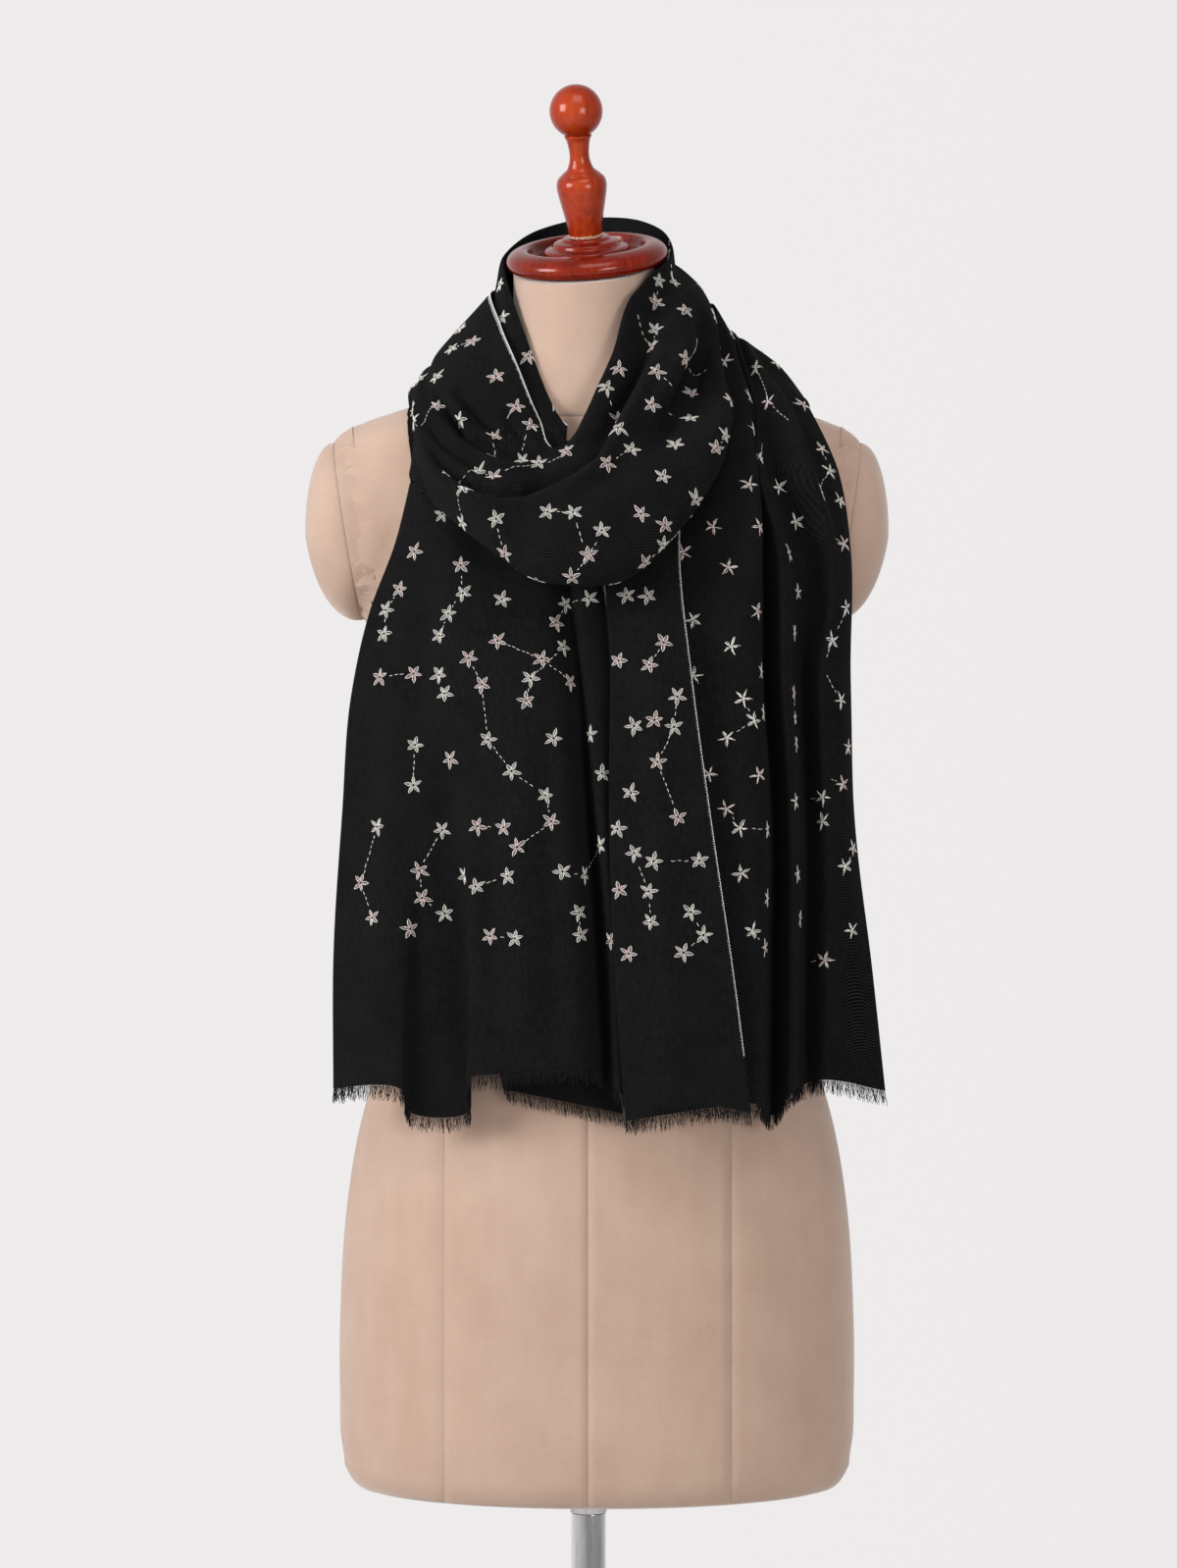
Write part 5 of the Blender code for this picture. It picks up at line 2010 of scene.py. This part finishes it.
@dataclass
class Fringe:
    """Frayed hem: fine uneven threads of the cloth's own wool."""

    sheet: Sheet
    node: str
    finish: bpy.types.Material
    seed: int
    pitch: float = 0.5
    length: float = 10.5
    radius: float = 0.2
    rooted: float = 0.08
    shares: tuple[float, ...] = (0.0, 0.2, 0.42, 0.64, 0.84, 1.0)

    def build(self, name: str) -> bpy.types.Object:
        """Make the threads along the hem.

        Args:
            name: Name of the piece.

        Returns:
            The new object.
        """
        rng = random.Random(self.seed)
        maker = MeshMaker(name, (self.finish,))
        grid = self.sheet.grid
        hem = grid[-1]
        lengths = places_along(hem)
        places = np.arange(0.4, lengths[-1] - 0.3, self.pitch * (1.0))
        ways = (hem, unit(hem - grid[-4]), unit(np.gradient(hem, axis=0)), self.sheet.normals()[-1])
        line, out, run, side = (read_path(places, lengths, values) for values in ways)
        lean = 0.0
        for number in range(len(places)):
            lean = 0.8 * lean + rng.uniform(-0.16, 0.16)
            length = self.length * rng.uniform(0.62, 1.2)
            wave = rng.uniform(0.0, 6.3)
            curl = rng.uniform(0.2, 0.9)
            path = []
            for share in self.shares:
                sway = lean * share * length * 0.6 + curl * math.sin(wave + share * 7) * share
                away = curl * math.cos(wave + share * 5) * share * 0.8
                drop = length * (share - self.rooted)
                path.append(line[number] + out[number] * drop + run[number] * sway + side[number] * away)
            maker.thread(np.array(path), self.radius * rng.uniform(0.8, 1.25), sides=3, tip=0.5)
        return dress(maker.finish(), (self.node,))


@dataclass
class Trimming:
    """All that is sewn to the shawl or frays from it: stars, stitched selvedges and hems."""

    sheets: dict[str, Sheet]
    # Sheet, wanted number of stars, seed and plain stretch before the hem
    stars: tuple[tuple[str, int, int, float], ...] = (
        ("wrap", 162, 3, 8.0), ("left", 126, 7, 92.0), ("right", 86, 11, 92.0), ("turned", 40, 4, 92.0),
    )
    # Sheet, name, start and end as shares of the edge, and weight of the stitching
    selvedges: tuple[tuple[str, str, float, float, float], ...] = (
        ("wrap", "selvedge_turn", 0.612, 0.95, 1.0),
        ("wrap", "selvedge_collar", 0.0, 0.04, 1.0),
        ("turned", "selvedge_turned", 0.0, 0.93, 0.48),
        ("left", "selvedge_left", 0.0, 0.30, 0.58),
    )
    # Sheet and seed
    hems: tuple[tuple[str, int], ...] = (("left", 21), ("right", 22), ("turned", 23))

    def build(self) -> dict[str, list[bpy.types.Object]]:
        """Make every piece of it.

        Returns:
            The pieces that belong to each sheet, by the sheet's key.
        """
        wools = (CREAM_THREAD.build(), PINK_THREAD.build())
        white, yarn = WHITE_THREAD.build(), YarnFinish().build()
        everything = tuple(self.sheets.values())
        sewn: dict[str, list[bpy.types.Object]] = {key: [] for key in self.sheets}
        for key, count, seed, plain_end in self.stars:
            stars = StarField(self.sheets[key], everything, count, seed, wools, plain_end=plain_end)
            sewn[key].append(stars.build("stars_" + key))
        for key, name, first, last, weight in self.selvedges:
            sewn[key].append(Selvedge(self.sheets[key], first, last, (white,), weight).build(name))
        for key, seed in self.hems:
            fringe = Fringe(self.sheets[key], "fringe_" + key, yarn, seed)
            sewn[key].append(fringe.build("fringe_" + key + "_threads"))
        return sewn


@dataclass(frozen=True)
class Lamp:
    """A square soft lamp: its place and size in metres, and its power in watts."""

    name: str
    place: Point
    size: float
    power: float
    aim: Point = (0.0, 0.0, 1.2)

    def build(self) -> None:
        """Hang the lamp and turn it to the form."""
        lamp = bpy.data.lights.new(self.name, "AREA")
        lamp.size = self.size
        lamp.energy = self.power
        light = bpy.data.objects.new(self.name, lamp)
        light.location = self.place
        light.rotation_euler = (Vector(self.aim) - Vector(self.place)).to_track_quat("-Z", "Y").to_euler()
        bpy.context.scene.collection.objects.link(light)


@dataclass(frozen=True)
class Studio:
    """Camera at the photo's place in metres, plain floor and soft light."""

    camera_place: Point = (0.0, -2.93, 1.129)
    sensor_height: float = 36.0
    photo_height_px: float = 1598.0
    focal_length_px: float = 4191.0
    floor_radius: float = 2600.0
    floor_sides: int = 96
    surround_tint: Point = (1, 0.972, 0.976)
    # Strength of the surround along each axis, from -1 at place 0 to 1 at place 1
    surround: tuple[tuple[str, tuple[Pair, ...]], ...] = (
        ("X", ((0.0, 0.34), (0.34, 0.10), (0.43, 0.0), (1.0, -0.04))),
        ("Y", ((0.0, 0.36), (0.45, 0.42), (0.8, 0.72), (0.95, 0.86))),
    )
    lamps: tuple[Lamp, ...] = (
        Lamp("key", (-2.7, -1.6, 2.0), 1.35, 92.0),
        Lamp("fill", (1.7, -3.1, 1.2), 1.2, 46.0),
        Lamp("top", (0.2, -1.6, 3.2), 1.3, 18.0),
    )

    def build(self) -> None:
        """Set up the camera, the surround, the floor and the lamps."""
        scene = bpy.context.scene
        lens = bpy.data.cameras.new("camera")
        lens.sensor_fit = "VERTICAL"
        lens.sensor_height = self.sensor_height
        lens.lens = self.focal_length_px / self.photo_height_px * self.sensor_height
        camera = bpy.data.objects.new("camera", lens)
        camera.location = self.camera_place
        camera.rotation_euler = (math.pi / 2, 0.0, 0.0)
        scene.collection.objects.link(camera)
        scene.camera = camera
        scene.view_settings.view_transform = "Standard"
        scene.world = self.soft_surround()
        floor = MeshMaker("floor", (FloorFinish().build(),))
        turns = np.linspace(0.0, 2 * math.pi, self.floor_sides + 1)[:-1]
        floor.add([(self.floor_radius * math.cos(turn), self.floor_radius * math.sin(turn), 0.0)
                   for turn in turns], [tuple(range(self.floor_sides))])
        floor.finish(smooth=False)
        for lamp in self.lamps:
            lamp.build()

    def soft_surround(self) -> bpy.types.World:
        """Make the surround: pale behind, bright at the viewer's left and dimmer at the right and front.

        Returns:
            The world.
        """
        world = bpy.data.worlds.new("studio")
        world.use_nodes = True
        nodes, links = world.node_tree.nodes, world.node_tree.links
        split = nodes.new("ShaderNodeSeparateXYZ")
        links.new(nodes.new("ShaderNodeTexCoord").outputs["Generated"], split.inputs["Vector"])
        total = nodes.new("ShaderNodeMath")
        for socket, (axis, stops) in zip(total.inputs, self.surround):
            spread = nodes.new("ShaderNodeMapRange")
            spread.inputs["From Min"].default_value = -1.0
            links.new(split.outputs[axis], spread.inputs["Value"])
            ramp = nodes.new("ShaderNodeValToRGB")
            elements = ramp.color_ramp.elements
            while len(elements) < len(stops):
                elements.new(0.5)
            lowest = min(strength for _, strength in stops)
            for element, (place, strength) in zip(elements, stops):
                element.position = place
                element.color = (*[strength - lowest] * 3, 1.0)
            links.new(spread.outputs["Result"], ramp.inputs["Fac"])
            shifted = nodes.new("ShaderNodeMath")
            shifted.inputs[1].default_value = lowest
            links.new(ramp.outputs["Color"], shifted.inputs[0])
            links.new(shifted.outputs[0], socket)
        background = nodes["Background"]
        background.inputs["Color"].default_value = (*self.surround_tint, 1.0)
        links.new(total.outputs[0], background.inputs["Strength"])
        return world


def main() -> None:
    """Build the stand, the form and the shawl, and log each sheet's flat size and area."""
    logging.basicConfig(level=logging.INFO, format="%(message)s")
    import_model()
    Studio().build()
    Stand().build(ChromeFinish().build(), BRUSHED_CHROME.build())
    form = DressForm()
    form.build(VelvetFinish().build())
    WoodenTop().build(form, DEEP_LACQUER.build(), LacquerFinish().build(), DRIED_GLUE.build())
    sheets = Shawl(form).sheets()
    sewn = Trimming(sheets).build()
    twill = TwillFinish().build()
    for key, sheet in sheets.items():
        piece = sheet.build(twill)
        width, length = sheet.flat_size()
        area = sheet.area()
        LOG.info("%s: flat %.3f by %.3f m, %.4f of %.4f square metres", sheet.name, width, length, area,
                 width * length)


if __name__ == "__main__":
    main()
